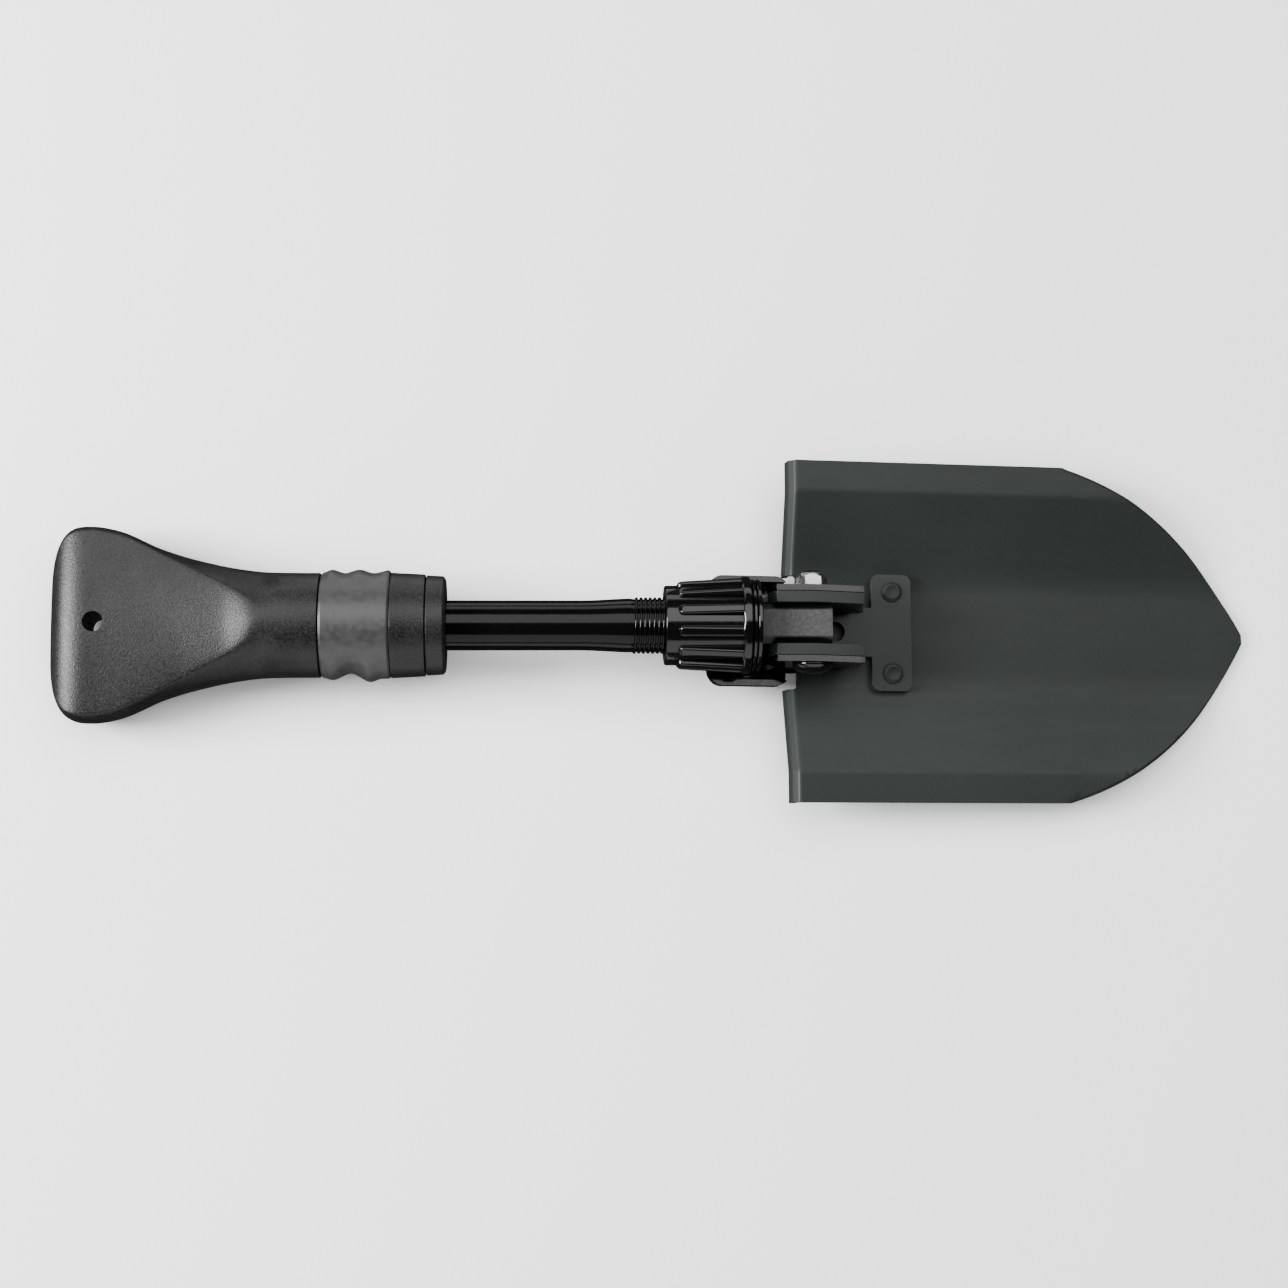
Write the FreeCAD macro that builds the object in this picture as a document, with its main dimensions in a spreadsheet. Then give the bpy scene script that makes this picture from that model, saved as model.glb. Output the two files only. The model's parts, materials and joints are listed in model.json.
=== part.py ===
import FreeCAD, Part
import math
import os
import re

import Sketcher
from FreeCAD import Placement, Rotation, Vector

# Folding camp shovel, open and lying on its back.
#
# Every piece is drawn in the tool's own frame: X runs along the shaft from the grip to the blade,
# the hinge pin crosses it along Y at X = 0, and +Z is the front, the side a load of earth lies on.
# At the end the whole tool is tipped back until its neck and the blade's tip rest on Z = 0.

os.makedirs("parts", exist_ok=True)
doc = FreeCAD.newDocument("camp_shovel")

DIMENSIONS = {
    # shaft: swaged steel tube, threaded at the head
    "shaft_radius": 8.75, "shaft_bore": 7.35, "shaft_rear": -172.2, "shaft_front": -18.5,
    "flare_rear": -80.0, "flare_front": -63.5, "thread_radius": 9.95, "thread_depth": 0.75,
    "thread_pitch": 1.65, "thread_grooves": 27,
    "stop_radius": 10.0, "stop_rear": -175.0, "stop_plug_front": -164.0,
    "stop_pin_radius": 1.5, "stop_pin_x": -168.0,
    # tongue: flattened steel bar pinned into the tube
    "spigot_radius": 7.3, "spigot_rear": -58.0, "tongue_front": 6.3, "tongue_half_width": 7.0,
    "tongue_half_height": 8.0, "tongue_round": 9.15, "tongue_pin_radius": 2.0, "tongue_pin_x": -40.0,
    # hinge pin
    "pin_height": 0.5, "pin_radius": 3.0, "running_gap": 0.05, "bush_radius": 4.5,
    "bolt_head_radius": 7.1, "bolt_head_height": 3.7, "bolt_end": 19.2,
    "nut_corner_radius": 5.6, "nut_height": 5.0,
    # lock collar and the two rings it pushes
    "collar_rear": -52.1, "collar_front": -22.2, "collar_radius": 14.0, "collar_bore": 12.0,
    "flute_rear": -47.7, "flute_front": -25.5, "rib_radius_rear": 15.4, "rib_radius_front": 16.6,
    "rib_width": 3.8, "rib_height": 4.0, "rib_count": 12, "rib_turn": 15.0, "flange_radius": 17.2,
    "insert_rear": -50.0, "insert_front": -24.2, "thread_gap": 0.07,
    "washer_rear": -21.8, "washer_front": -20.5, "pressure_rear": -20.2, "pressure_front": -18.7,
    "ring_radius": 16.15,
    # grip: two nylon shells, and the parts in their neck
    "grip_rear": -264.0, "grip_front": -171.6, "grip_radius": 18.2, "shell_wall": 3.2,
    "neck_rear": -186.0, "neck_front": -131.5, "neck_radius": 14.0, "neck_bore": 11.25,
    "shaft_room": 10.7, "shaft_room_rear": -221.0, "guide_rear": -171.2, "guide_front": -158.0,
    "collet_rear": -150.0, "collet_front": -130.3, "collet_radius": 11.2, "collet_slot": 1.2,
    "collet_slot_length": 12.0,
    "sleeve_rear": -171.1, "sleeve_front": -135.3, "sleeve_seat": 16.0,
    "sleeve_radius": 18.4, "sleeve_radius_front": 17.8, "rubber_rear": -170.9,
    "rubber_front": -147.2, "rubber_radius": 18.5,
    "end_ring_rear": -134.9, "end_ring_front": -128.2, "end_ring_radius": 17.5,
    "end_ring_radius_front": 17.1, "end_ring_mouth": 11.6,
    "lanyard_x": -248.3, "lanyard_radius": 3.5, "lanyard_boss": 6.4,
    "screw_radius": 1.45, "screw_head_radius": 2.8, "screw_boss": 3.7, "screw_neck": 3.0,
    "screw_seat": -5.0, "screw_head_back": -7.2, "socket_width": 1.6, "socket_depth": 1.2,
    # blade: one bent sheet, falling away from the shaft line towards its tip
    "blade_sheet": 2.0, "blade_lift": 7.5, "blade_height": -18.8, "blade_half_width": 61.5,
    "blade_rear": -7.2, "blade_shoulder": 96.0, "blade_tip": 168.0, "blade_bulge_x": 130.0,
    "blade_bulge_y": 45.2, "keel_half_width": 14.0, "keel_bend": 45.0, "wing_angle": 15.0,
    "wing_half_width": 49.5, "flange_bend": 8.0, "notch_half_width": 20.6, "notch_front": -3.4,
    "step_depth": 8.0,
    # hinge bracket on the front of the blade
    "plate_thickness": 3.4, "plate_rear": 23.6, "plate_front": 38.6, "plate_half_width": 21.2,
    "plate_corner": 3.0, "stem_rear": -2.8, "stem_half_width": 8.9, "slot_half_width": 3.5,
    "slot_front": 13.6, "ear_inner": 7.25, "ear_outer": 11.2, "ear_round": 15.6,
    "ear_top": 8.9, "ear_top_front": 3.5, "ear_front": 18.2, "ear_low": -20.0,
    "foot_top": -13.9, "foot_front": 20.6, "foot_low": -16.2,
    # brace behind the blade, with the outer cheeks and the trough behind the collar
    "brace_sheet": 2.1, "cheek_inner": 11.4, "cheek_outer": 13.5, "trough_rear": -36.0,
    "trough_front": -6.8, "trough_half_width": 19.75, "trough_drop": 3.5, "trough_wall": 6.6,
    "trough_corner": 5.0, "brace_neck": 14.5, "brace_front": 39.0,
    "cheek_low": -30.0, "cheek_front_low": -1.0, "cheek_low_front": 9.7, "cheek_floor": 0.3,
    "leg_rear": -13.4, "leg_top": 6.0,
    "rivet_x": 31.3, "rivet_y": 14.8, "rivet_radius": 2.4, "rivet_head_radius": 3.7,
    "rivet_head_height": 1.3,
}

sheet = doc.addObject("Spreadsheet::Sheet", "dims")
for row, (alias, number) in enumerate(DIMENSIONS.items(), start=1):
    sheet.set(f"A{row}", alias)
    sheet.set(f"B{row}", str(number))
    sheet.setAlias(f"B{row}", alias)
doc.recompute()


def dim(alias):
    """A driving dimension's number, as the sheet holds it."""
    return float(sheet.get(alias))


def bound(expression):
    """The expression with every dimension's name pointed at the sheet."""
    return re.sub(r"[a-z][a-z_]+", r"dims.\g<0>", expression)


def value(expression):
    """The present value of an expression on the sheet's dimensions."""
    return float(sheet.evalExpression(expression))


def solid(kind, name, at=("0", "0", "0"), axis=Vector(0, 0, 1), **sizes):
    """A Part primitive whose sizes and place follow the sheet, its own Z turned to the axis."""
    piece = doc.addObject("Part::" + kind, name)
    for size, expression in sizes.items():
        piece.setExpression(size, bound(expression))
    turn = Rotation(Vector(0, 0, 1), axis)
    piece.Placement = Placement(Vector(*[value(place) for place in at]), turn)
    for letter, place in zip("xyz", at):
        if place != "0":
            piece.setExpression("Placement.Base." + letter, bound(place))
    return piece


def joined(name, *pieces):
    fuse = doc.addObject("Part::MultiFuse", name)
    fuse.Shapes = list(pieces)
    return fuse


def shared(name, *pieces):
    common = doc.addObject("Part::MultiCommon", name)
    common.Shapes = list(pieces)
    return common


def cut(name, base, *tools):
    tool = tools[0] if len(tools) == 1 else joined(name + "_tools", *tools)
    result = doc.addObject("Part::Cut", name)
    result.Base = base
    result.Tool = tool
    return result


def sketch_outline(body, role, name, outline):
    """A closed outline of straight edges on one of the body's own planes, held by the sheet."""
    plane = next(item for item in body.Origin.OriginFeatures if item.Role == role)
    sketch = body.newObject("Sketcher::SketchObject", name)
    sketch.AttachmentSupport = [(plane, "")]
    sketch.MapMode = "FlatFace"
    corners = [Vector(value(across), value(up), 0) for across, up in outline]
    for index, corner in enumerate(corners):
        sketch.addGeometry(Part.LineSegment(corner, corners[(index + 1) % len(corners)]), False)
    for index in range(len(corners)):
        following = (index + 1) % len(corners)
        sketch.addConstraint(Sketcher.Constraint("Coincident", index, 2, following, 1))
    for index, (corner, names) in enumerate(zip(corners, outline)):
        for kind, number, name_of in (("DistanceX", corner.x, names[0]), ("DistanceY", corner.y, names[1])):
            if abs(number) < 1e-9:
                axis = -2 if kind == "DistanceX" else -1
                sketch.addConstraint(Sketcher.Constraint("PointOnObject", index, 1, axis))
            else:
                made = sketch.addConstraint(Sketcher.Constraint(kind, -1, 1, index, 1, number))
                sketch.setExpression(f"Constraints[{made}]", bound(name_of))
    return sketch


def turned(name, outline, about="H_Axis", height="0"):
    """A piece turned about the shaft line (H_Axis) or about Y (V_Axis), from an X-Y outline."""
    body = doc.addObject("PartDesign::Body", name)
    sketch = sketch_outline(body, "XY_Plane", name + "_section", outline)
    turning = body.newObject("PartDesign::Revolution", name + "_turned")
    turning.Profile = sketch
    turning.ReferenceAxis = (sketch, [about])
    turning.Angle = 360
    sketch.Visibility = False
    if height != "0":
        body.setExpression("Placement.Base.z", bound(height))
    return body


def ring(name, rear, front, bore, radius):
    """A plain ring around the shaft line."""
    return turned(name, [(rear, bore), (rear, radius), (front, radius), (front, bore)])


ALONG_X = Vector(1, 0, 0)
ALONG_Y = Vector(0, 1, 0)
FRONT_VIEW = Vector(0, 0, 1)
nodes = {}


# ---------------------------------------------------------------- shaft
def shaft_tube():
    """Steel tube, swaged out to a thicker end that carries the collar's thread."""
    tube = turned("tube", [
        ("shaft_rear", "shaft_bore"), ("shaft_rear", "shaft_radius"),
        ("flare_rear", "shaft_radius"), ("flare_front", "thread_radius"),
        ("shaft_front", "thread_radius"), ("shaft_front", "shaft_bore")])
    groove_sketch = sketch_outline(tube, "XY_Plane", "thread_groove", [
        ("flare_front + 0.3", "thread_radius - thread_depth"),
        ("flare_front + 0.3 + thread_pitch / 2 - 0.1", "thread_radius + 0.2"),
        ("flare_front + 0.3 - thread_pitch / 2 + 0.1", "thread_radius + 0.2")])
    groove = tube.newObject("PartDesign::Groove", "thread_cut")
    groove.Profile = groove_sketch
    groove.ReferenceAxis = (groove_sketch, ["H_Axis"])
    groove.Angle = 360
    pattern = tube.newObject("PartDesign::LinearPattern", "thread")
    pattern.Originals = [groove]
    pattern.Direction = (groove_sketch, ["H_Axis"])
    pattern.setExpression("Length", bound("thread_pitch * (thread_grooves - 1)"))
    pattern.setExpression("Occurrences", bound("thread_grooves"))
    tube.Tip = pattern
    pins = (("tongue_pin_x", "tongue_pin_radius"), ("stop_pin_x", "stop_pin_radius"))
    holes = [solid("Cylinder", "pin_hole", (place, "-30", "0"), ALONG_Y, Radius=radius, Height="60")
             for place, radius in pins]
    return cut("shaft_tube", tube, *holes)


def hinge_tongue():
    """Steel bar: a round spigot inside the tube, and a flattened end drilled for the hinge bush."""
    spigot = solid("Cylinder", "spigot", ("spigot_rear", "0", "0"), ALONG_X,
                   Radius="spigot_radius", Height="shaft_front - spigot_rear")
    block = solid("Box", "tongue_block", ("shaft_front", "-tongue_half_width", "-tongue_half_height"),
                  Length="tongue_front - shaft_front", Width="2 * tongue_half_width",
                  Height="2 * tongue_half_height")
    bar = solid("Cylinder", "tongue_bar", ("shaft_front", "0", "0"), ALONG_X,
                Radius="tongue_round", Height="tongue_front - shaft_front")
    eye = solid("Cylinder", "tongue_eye", ("0", "-20", "pin_height"), ALONG_Y,
                Radius="bush_radius", Height="40")
    cross = solid("Cylinder", "tongue_cross_hole", ("tongue_pin_x", "-20", "0"), ALONG_Y,
                  Radius="tongue_pin_radius", Height="40")
    return cut("hinge_tongue", joined("tongue_whole", spigot, shared("tongue_end", block, bar)), eye, cross)


def cross_pin(name, place, radius, half_length):
    return solid("Cylinder", name, (place, f"-({half_length})", "0"), ALONG_Y,
                 Radius=radius, Height=f"2 * ({half_length})")


def pivot_bush():
    bush = solid("Cylinder", "bush_outside", ("0", "-tongue_half_width", "pin_height"), ALONG_Y,
                 Radius="bush_radius", Height="2 * tongue_half_width")
    bore = solid("Cylinder", "bush_bore", ("0", "-20", "pin_height"), ALONG_Y,
                 Radius="pin_radius + running_gap", Height="40")
    return cut("pivot_bush", bush, bore)


def shaft_stop():
    """Plug with a flange wider than the guide bush, so that the shaft can't be pulled out."""
    plug = turned("stop_plug", [
        ("stop_rear", "0"), ("stop_rear", "stop_radius"), ("shaft_rear", "stop_radius"),
        ("shaft_rear", "spigot_radius"), ("stop_plug_front", "spigot_radius"), ("stop_plug_front", "0")])
    hole = solid("Cylinder", "stop_hole", ("stop_pin_x", "-20", "0"), ALONG_Y,
                 Radius="stop_pin_radius", Height="40")
    return cut("shaft_stop", plug, hole)


nodes["shaft_tube"] = shaft_tube()
nodes["hinge_tongue"] = hinge_tongue()
nodes["tongue_pin"] = cross_pin("tongue_pin", "tongue_pin_x", "tongue_pin_radius",
                                "thread_radius - thread_depth - 0.2")
nodes["pivot_bush"] = pivot_bush()
nodes["shaft_stop"] = shaft_stop()
nodes["stop_pin"] = cross_pin("stop_pin", "stop_pin_x", "stop_pin_radius", "shaft_radius - 0.3")


# ---------------------------------------------------------------- grip
# Half width and half thickness at stations along the grip: a round neck that spreads into a
# flattened butt, whose front and back fall in a straight slope from the neck.
GRIP_STATIONS = [
    (-264.0, 16.0, 4.2, 2.3), (-263.0, 22.0, 6.6, 2.5), (-261.0, 27.2, 8.6, 2.7), (-257.5, 31.6, 9.8, 2.9),
    (-250.5, 34.0, 10.6, 3.0), (-241.0, 32.5, 11.7, 2.9), (-226.0, 26.1, 13.7, 2.7),
    (-208.0, 21.0, 16.1, 2.4), (-192.0, 18.7, 18.0, 2.1), (-182.0, 18.2, 18.2, 2.0),
    (-173.2, 18.2, 18.2, 2.0)]


def grip_section(station, inset=0.0):
    """One closed superellipse across the grip."""
    place, half_width, half_thickness, squareness = station
    points = []
    for step in range(48):
        turn = 2 * math.pi * step / 48
        across = math.copysign(abs(math.cos(turn)) ** (2 / squareness), math.cos(turn))
        up = math.copysign(abs(math.sin(turn)) ** (2 / squareness), math.sin(turn))
        points.append(Vector(place, (half_width - inset) * across, (half_thickness - inset) * up))
    curve = Part.BSplineCurve()
    curve.interpolate(points, PeriodicFlag=True)
    return Part.Wire([curve.toShape()])


def upright(radius, across, place, low=-40.0, high=40.0):
    """A cylinder through the grip from back to front."""
    return Part.makeCylinder(radius, high - low, Vector(place, across, low), FRONT_VIEW)


def along(radius, rear, front):
    """A cylinder on the shaft line."""
    return Part.makeCylinder(radius, front - rear, Vector(rear, 0, 0), ALONG_X)


SCREW_PLACES = [(-239.0, 21.0), (-239.0, -21.0), (-206.0, 15.0), (-206.0, -15.0)]


def grip_shells():
    """The two moulded halves, with screw bosses, a seat for the neck tube and a lanyard hole."""
    outside = Part.makeLoft([grip_section(station) for station in GRIP_STATIONS], True)
    wall = dim("shell_wall")
    room = Part.makeLoft([grip_section(station, wall) for station in GRIP_STATIONS
                          if -260.0 < station[0] < -190.0], True)
    bosses = [upright(dim("screw_boss"), across, place) for place, across in SCREW_PLACES]
    bosses.append(upright(dim("lanyard_boss"), 0.0, dim("lanyard_x")))
    body = outside.cut(room).fuse([boss.common(outside) for boss in bosses])
    body = body.cut(along(dim("neck_radius"), dim("neck_rear"), dim("grip_front") + 1))
    body = body.cut(along(dim("shaft_room"), dim("shaft_room_rear"), dim("neck_rear") + 1))
    body = body.cut(upright(dim("lanyard_radius"), 0.0, dim("lanyard_x")))
    screw_hole = dim("screw_radius") + 0.05
    for place, across in SCREW_PLACES:
        body = body.cut(upright(screw_hole, across, place, low=-40.0, high=dim("screw_neck")))
        body = body.cut(upright(dim("screw_head_radius") + 0.2, across, place, low=-40.0,
                                high=dim("screw_seat")))
    half = Part.makeBox(200, 100, 50, Vector(-300, -50, 0))
    front = body.common(half)
    back = body.cut(half)
    return front.removeSplitter(), back.removeSplitter()


def grip_screws():
    """Self-tapping screws, sunk in the back shell and biting into the front one."""
    screws = []
    seat, back = dim("screw_seat"), dim("screw_head_back")
    width, depth = dim("socket_width"), dim("socket_depth")
    for place, across in SCREW_PLACES:
        shank = upright(dim("screw_radius"), across, place, low=seat, high=dim("screw_neck") - 0.2)
        head = upright(dim("screw_head_radius"), across, place, low=back, high=seat)
        corner = Vector(place - width / 2, across - width / 2, back - 0.1)
        socket = Part.makeBox(width, width, depth, corner)
        screws.append(shank.fuse(head).cut(socket))
    return Part.makeCompound(screws)


def lock_collet():
    """Slotted nylon ring that the twist sleeve squeezes on the shaft."""
    collet = ring("collet_ring", "collet_rear", "collet_front", "shaft_radius + running_gap",
                  "collet_radius")
    slots = []
    for turn in (0, 60, 120):
        slot = solid("Box", "collet_slot", ("collet_front - collet_slot_length", "-20", "-collet_slot / 2"),
                     Length="20", Width="40", Height="collet_slot")
        slot.Placement = Placement(Vector(), Rotation(ALONG_X, turn)) * slot.Placement
        for letter in "yz":
            slot.setExpression("Placement.Base." + letter, None)
        slots.append(slot)
    return cut("lock_collet", collet, *slots)


front_shell, back_shell = grip_shells()
for name, shape in (("grip_front_shell", front_shell), ("grip_back_shell", back_shell),
                    ("grip_screws", grip_screws())):
    nodes[name] = doc.addObject("Part::Feature", name)
    nodes[name].Shape = shape
nodes["neck_tube"] = ring("neck_tube", "neck_rear", "neck_front", "neck_bore", "neck_radius")
nodes["guide_bush"] = ring("guide_bush", "guide_rear", "guide_front", "shaft_radius + running_gap",
                           "collet_radius")
nodes["lock_collet"] = lock_collet()
nodes["end_ring"] = turned("end_ring", [
    ("end_ring_rear", "neck_radius"), ("end_ring_rear", "end_ring_radius"),
    ("end_ring_front", "end_ring_radius_front"), ("end_ring_front", "end_ring_mouth"),
    ("neck_front", "end_ring_mouth"), ("neck_front", "neck_radius")])
nodes["twist_sleeve"] = turned("twist_sleeve", [
    ("sleeve_rear", "neck_radius + running_gap"), ("sleeve_rear", "sleeve_seat"),
    ("rubber_front", "sleeve_seat"), ("rubber_front", "sleeve_radius"),
    ("sleeve_front", "sleeve_radius_front"), ("sleeve_front", "neck_radius + running_gap")])
nodes["rubber_grip"] = turned("rubber_grip", [
    ("rubber_rear", "sleeve_seat"), ("rubber_rear", "rubber_radius - 0.6"),
    ("rubber_rear + 0.6", "rubber_radius"), ("rubber_front - 0.2", "rubber_radius"),
    ("rubber_front - 0.2", "sleeve_seat")])


# ---------------------------------------------------------------- lock collar
def lock_collar():
    """Fluted nut: a barrel with twelve ribs that rise towards a flange at its front end."""
    barrel = turned("collar_barrel", [
        ("collar_rear", "thread_radius + 0.6"), ("collar_rear", "collar_radius - 0.4"),
        ("collar_rear + 0.4", "collar_radius"), ("flute_front", "collar_radius"),
        ("flute_front", "flange_radius"), ("collar_front", "flange_radius"),
        ("collar_front", "thread_radius + 0.6"), ("insert_front", "thread_radius + 0.6"),
        ("insert_front", "collar_bore"), ("insert_rear", "collar_bore"),
        ("insert_rear", "thread_radius + 0.6")])
    rib = solid("Box", "collar_rib", ("flute_rear", "-rib_width / 2", "collar_radius - 0.5"),
                Length="flute_front - flute_rear + 0.1", Width="rib_width", Height="rib_height")
    envelope = turned("rib_envelope", [
        ("flute_rear", "0"), ("flute_rear", "rib_radius_rear - 0.6"),
        ("flute_rear + 1", "rib_radius_rear"), ("flute_front + 0.1", "rib_radius_front"),
        ("flute_front + 0.1", "0")])
    ribs = []
    doc.recompute()
    shape = rib.Shape.common(envelope.Shape)
    count = int(dim("rib_count"))
    for index in range(count):
        turned_rib = shape.copy()
        turned_rib.rotate(Vector(), ALONG_X, dim("rib_turn") + 360.0 * index / count)
        ribs.append(turned_rib)
    collar = doc.addObject("Part::Feature", "lock_collar")
    collar.Shape = barrel.Shape.fuse(ribs).removeSplitter()
    return collar


nodes["lock_collar"] = lock_collar()
nodes["collar_insert"] = ring("collar_insert", "insert_rear", "insert_front",
                              "thread_radius + thread_gap", "collar_bore")
nodes["thrust_washer"] = ring("thrust_washer", "washer_rear", "washer_front",
                              "thread_radius + thread_gap", "ring_radius")
nodes["pressure_ring"] = ring("pressure_ring", "pressure_rear", "pressure_front",
                              "thread_radius + thread_gap", "ring_radius")


# ---------------------------------------------------------------- blade
BLADE_FRAME = Placement(Vector(0, 0, dim("blade_height")), Rotation(ALONG_Y, dim("blade_lift")))


def sheet_section(depth):
    """Half the blade's front line across its width, lowered by a depth: the keel is flat, each
    wing rises at the wing angle and the rim is bent back level."""
    angle = math.radians(dim("wing_angle"))
    keel = dim("keel_half_width")
    bend = dim("keel_bend") + depth
    rim_bend = dim("flange_bend") - depth
    keel_end = Vector(0, keel, -depth)
    centre = Vector(0, keel, dim("keel_bend"))
    bend_mid = centre + Vector(0, math.sin(angle / 2), -math.cos(angle / 2)) * bend
    bend_end = centre + Vector(0, math.sin(angle), -math.cos(angle)) * bend
    wing = dim("wing_half_width")
    reach = (wing - keel - dim("keel_bend") * math.sin(angle)) / math.cos(angle)
    wing_front = centre + Vector(0, math.sin(angle), -math.cos(angle)) * dim("keel_bend")
    wing_front += Vector(0, math.cos(angle), math.sin(angle)) * reach
    rim_centre = wing_front + Vector(0, math.sin(angle), -math.cos(angle)) * dim("flange_bend")
    wing_end = rim_centre + Vector(0, -math.sin(angle), math.cos(angle)) * rim_bend
    rim_mid = rim_centre + Vector(0, -math.sin(angle / 2), math.cos(angle / 2)) * rim_bend
    rim_start = rim_centre + Vector(0, 0, rim_bend)
    edge = Vector(0, dim("blade_half_width"), rim_start.z)
    return [Part.LineSegment(Vector(0, 0, -depth), keel_end).toShape(),
            Part.Arc(keel_end, bend_mid, bend_end).toShape(),
            Part.LineSegment(bend_end, wing_end).toShape(),
            Part.Arc(wing_end, rim_mid, rim_start).toShape(),
            Part.LineSegment(rim_start, edge).toShape()]


def sheet_body(top, bottom, rear, front):
    """The space between two depths under the blade's front surface, on both sides of the keel."""
    upper = sheet_section(top)
    lower = sheet_section(bottom)
    rim = Part.makeLine(upper[-1].Vertexes[-1].Point, lower[-1].Vertexes[-1].Point)
    middle = Part.makeLine(upper[0].Vertexes[0].Point, lower[0].Vertexes[0].Point)
    outline = Part.Wire(Part.__sortEdges__(upper + [rim] + lower + [middle]))
    half = Part.Face(outline)
    half.translate(Vector(rear, 0, 0))
    side = half.extrude(Vector(front - rear, 0, 0))
    return side.fuse(side.mirror(Vector(), ALONG_Y)).removeSplitter()


def blade():
    """Bent steel sheet: straight sides, an ogive point, a notch for the hinge and foot steps."""
    half = dim("blade_half_width")
    rear, shoulder, tip = dim("blade_rear"), dim("blade_shoulder"), dim("blade_tip")
    notch, notch_front = dim("notch_half_width"), dim("notch_front")
    bulge_x, bulge_y = dim("blade_bulge_x"), dim("blade_bulge_y")
    points = [Vector(tip, 0, 0), Vector(shoulder, half, 0), Vector(rear, half, 0), Vector(rear, notch, 0),
              Vector(notch_front, notch, 0), Vector(notch_front, -notch, 0), Vector(rear, -notch, 0),
              Vector(rear, -half, 0), Vector(shoulder, -half, 0)]
    edges = [Part.Arc(points[0], Vector(bulge_x, bulge_y, 0), points[1]).toShape()]
    edges += [Part.makeLine(start, end) for start, end in zip(points[1:], points[2:])]
    edges.append(Part.Arc(points[-1], Vector(bulge_x, -bulge_y, 0), points[0]).toShape())
    outline = Part.Face(Part.Wire(edges))
    outline.translate(Vector(0, 0, -30))
    sheet_metal = sheet_body(0.0, dim("blade_sheet"), rear, tip).common(outline.extrude(Vector(0, 0, 60)))
    thickness = dim("blade_sheet")
    step = sheet_body(0.0, dim("step_depth") - 0.5, rear, rear + thickness)
    gap = Part.makeBox(40, 2 * notch, 60, Vector(rear - 10, -notch, -30))
    holes = rivet_holes()
    return sheet_metal.fuse(step.cut(gap)).removeSplitter().cut(holes)


def rivet_holes():
    radius = dim("rivet_radius") + 0.02
    return Part.makeCompound([
        Part.makeCylinder(radius, 40, Vector(dim("rivet_x"), side * dim("rivet_y"), -20))
        for side in (1, -1)])


def pin_hole():
    """The hinge hole, in the blade's own frame."""
    hole = Part.makeCylinder(dim("pin_radius") + 0.02, 80, Vector(0, -40, dim("pin_height")), ALONG_Y)
    return hole.transformGeometry(BLADE_FRAME.inverse().toMatrix())


def ear(inner, outer, low, front_line):
    """One ear plate on each side of the tongue: round behind the pin, its top falling forwards to
    a front line that stays short of the pushed rings when the blade is folded back."""
    plates = []
    corners = [(0, dim("ear_top")), (dim("ear_front"), dim("ear_top_front"))] + front_line + [(0, low)]
    points = [Vector(x, 0, z) for x, z in corners]
    face = Part.Face(Part.makePolygon(points + points[:1]))
    disc = Part.makeCylinder(dim("ear_round"), outer - inner, Vector(0, inner, dim("pin_height")), ALONG_Y)
    top = Part.makeBox(60, 100, 40, Vector(-30, -50, dim("ear_top")))
    back = Part.makeBox(60, 100, 60, Vector(0, -50, -30))
    low_cut = Part.makeBox(60, 100, 60, Vector(-30, -50, low - 60))
    for side in (1, -1):
        plate = face.copy()
        plate.translate(Vector(0, inner, 0))
        plate = plate.extrude(Vector(0, outer - inner, 0))
        plate = plate.fuse(disc.cut(top).cut(back).cut(low_cut))
        plates.append(plate if side == 1 else plate.mirror(Vector(), ALONG_Y))
    return plates


def rounded_plate(rear, front, half_width, low, high, corner):
    """A flat plate with rounded corners at every corner."""
    plate = Part.makeBox(front - rear, 2 * half_width, high - low, Vector(rear, -half_width, low))
    uprights = [edge for edge in plate.Edges if abs(edge.tangentAt(edge.FirstParameter).z) > 0.9]
    return plate.makeFillet(corner, uprights)


def in_blade_frame(shapes):
    back = BLADE_FRAME.inverse().toMatrix()
    return [shape.transformGeometry(back) for shape in shapes]


def hinge_bracket():
    """T-shaped steel plate on the keel, its stem folded up into the two inner ears."""
    thick = dim("plate_thickness")
    head = rounded_plate(dim("plate_rear"), dim("plate_front"), dim("plate_half_width"), 0.0, thick,
                         dim("plate_corner"))
    neck = Part.makeBox(12, 2 * dim("stem_half_width"), thick,
                        Vector(dim("plate_rear") - 9, -dim("stem_half_width"), 0))
    base = Part.makeBox(dim("foot_front") - dim("stem_rear"), 2 * dim("ear_outer"), thick,
                        Vector(dim("stem_rear"), -dim("ear_outer"), 0))
    foot = [(dim("ear_front"), dim("foot_top")), (dim("foot_front"), dim("foot_low")),
            (dim("foot_front"), dim("ear_low"))]
    ears = in_blade_frame(ear(dim("ear_inner"), dim("ear_outer"), dim("ear_low"), foot))
    floor = Part.makeBox(200, 100, 40, Vector(-60, -50, -40))
    ears = [plate.cut(floor) for plate in ears]
    slot_width = dim("slot_half_width")
    slot_end = dim("slot_front") - slot_width
    slot = Part.makeBox(slot_end + 30, 2 * slot_width, 20, Vector(-30, -slot_width, -10))
    slot = slot.fuse(Part.makeCylinder(slot_width, 20, Vector(slot_end, 0, -10)))
    body = head.fuse([neck, base] + ears).cut(slot)
    body = body.cut(pin_hole()).cut(rivet_holes())
    return body.cut(sheet_body(0.0, dim("blade_sheet"), -30.0, 60.0)).removeSplitter()


def long_edges_below(shape, height):
    """The shape's edges along X whose middle lies under a height."""
    return [edge for edge in shape.Edges
            if abs(edge.tangentAt(edge.FirstParameter).x) > 0.9 and edge.CenterOfMass.z < height]


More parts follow.
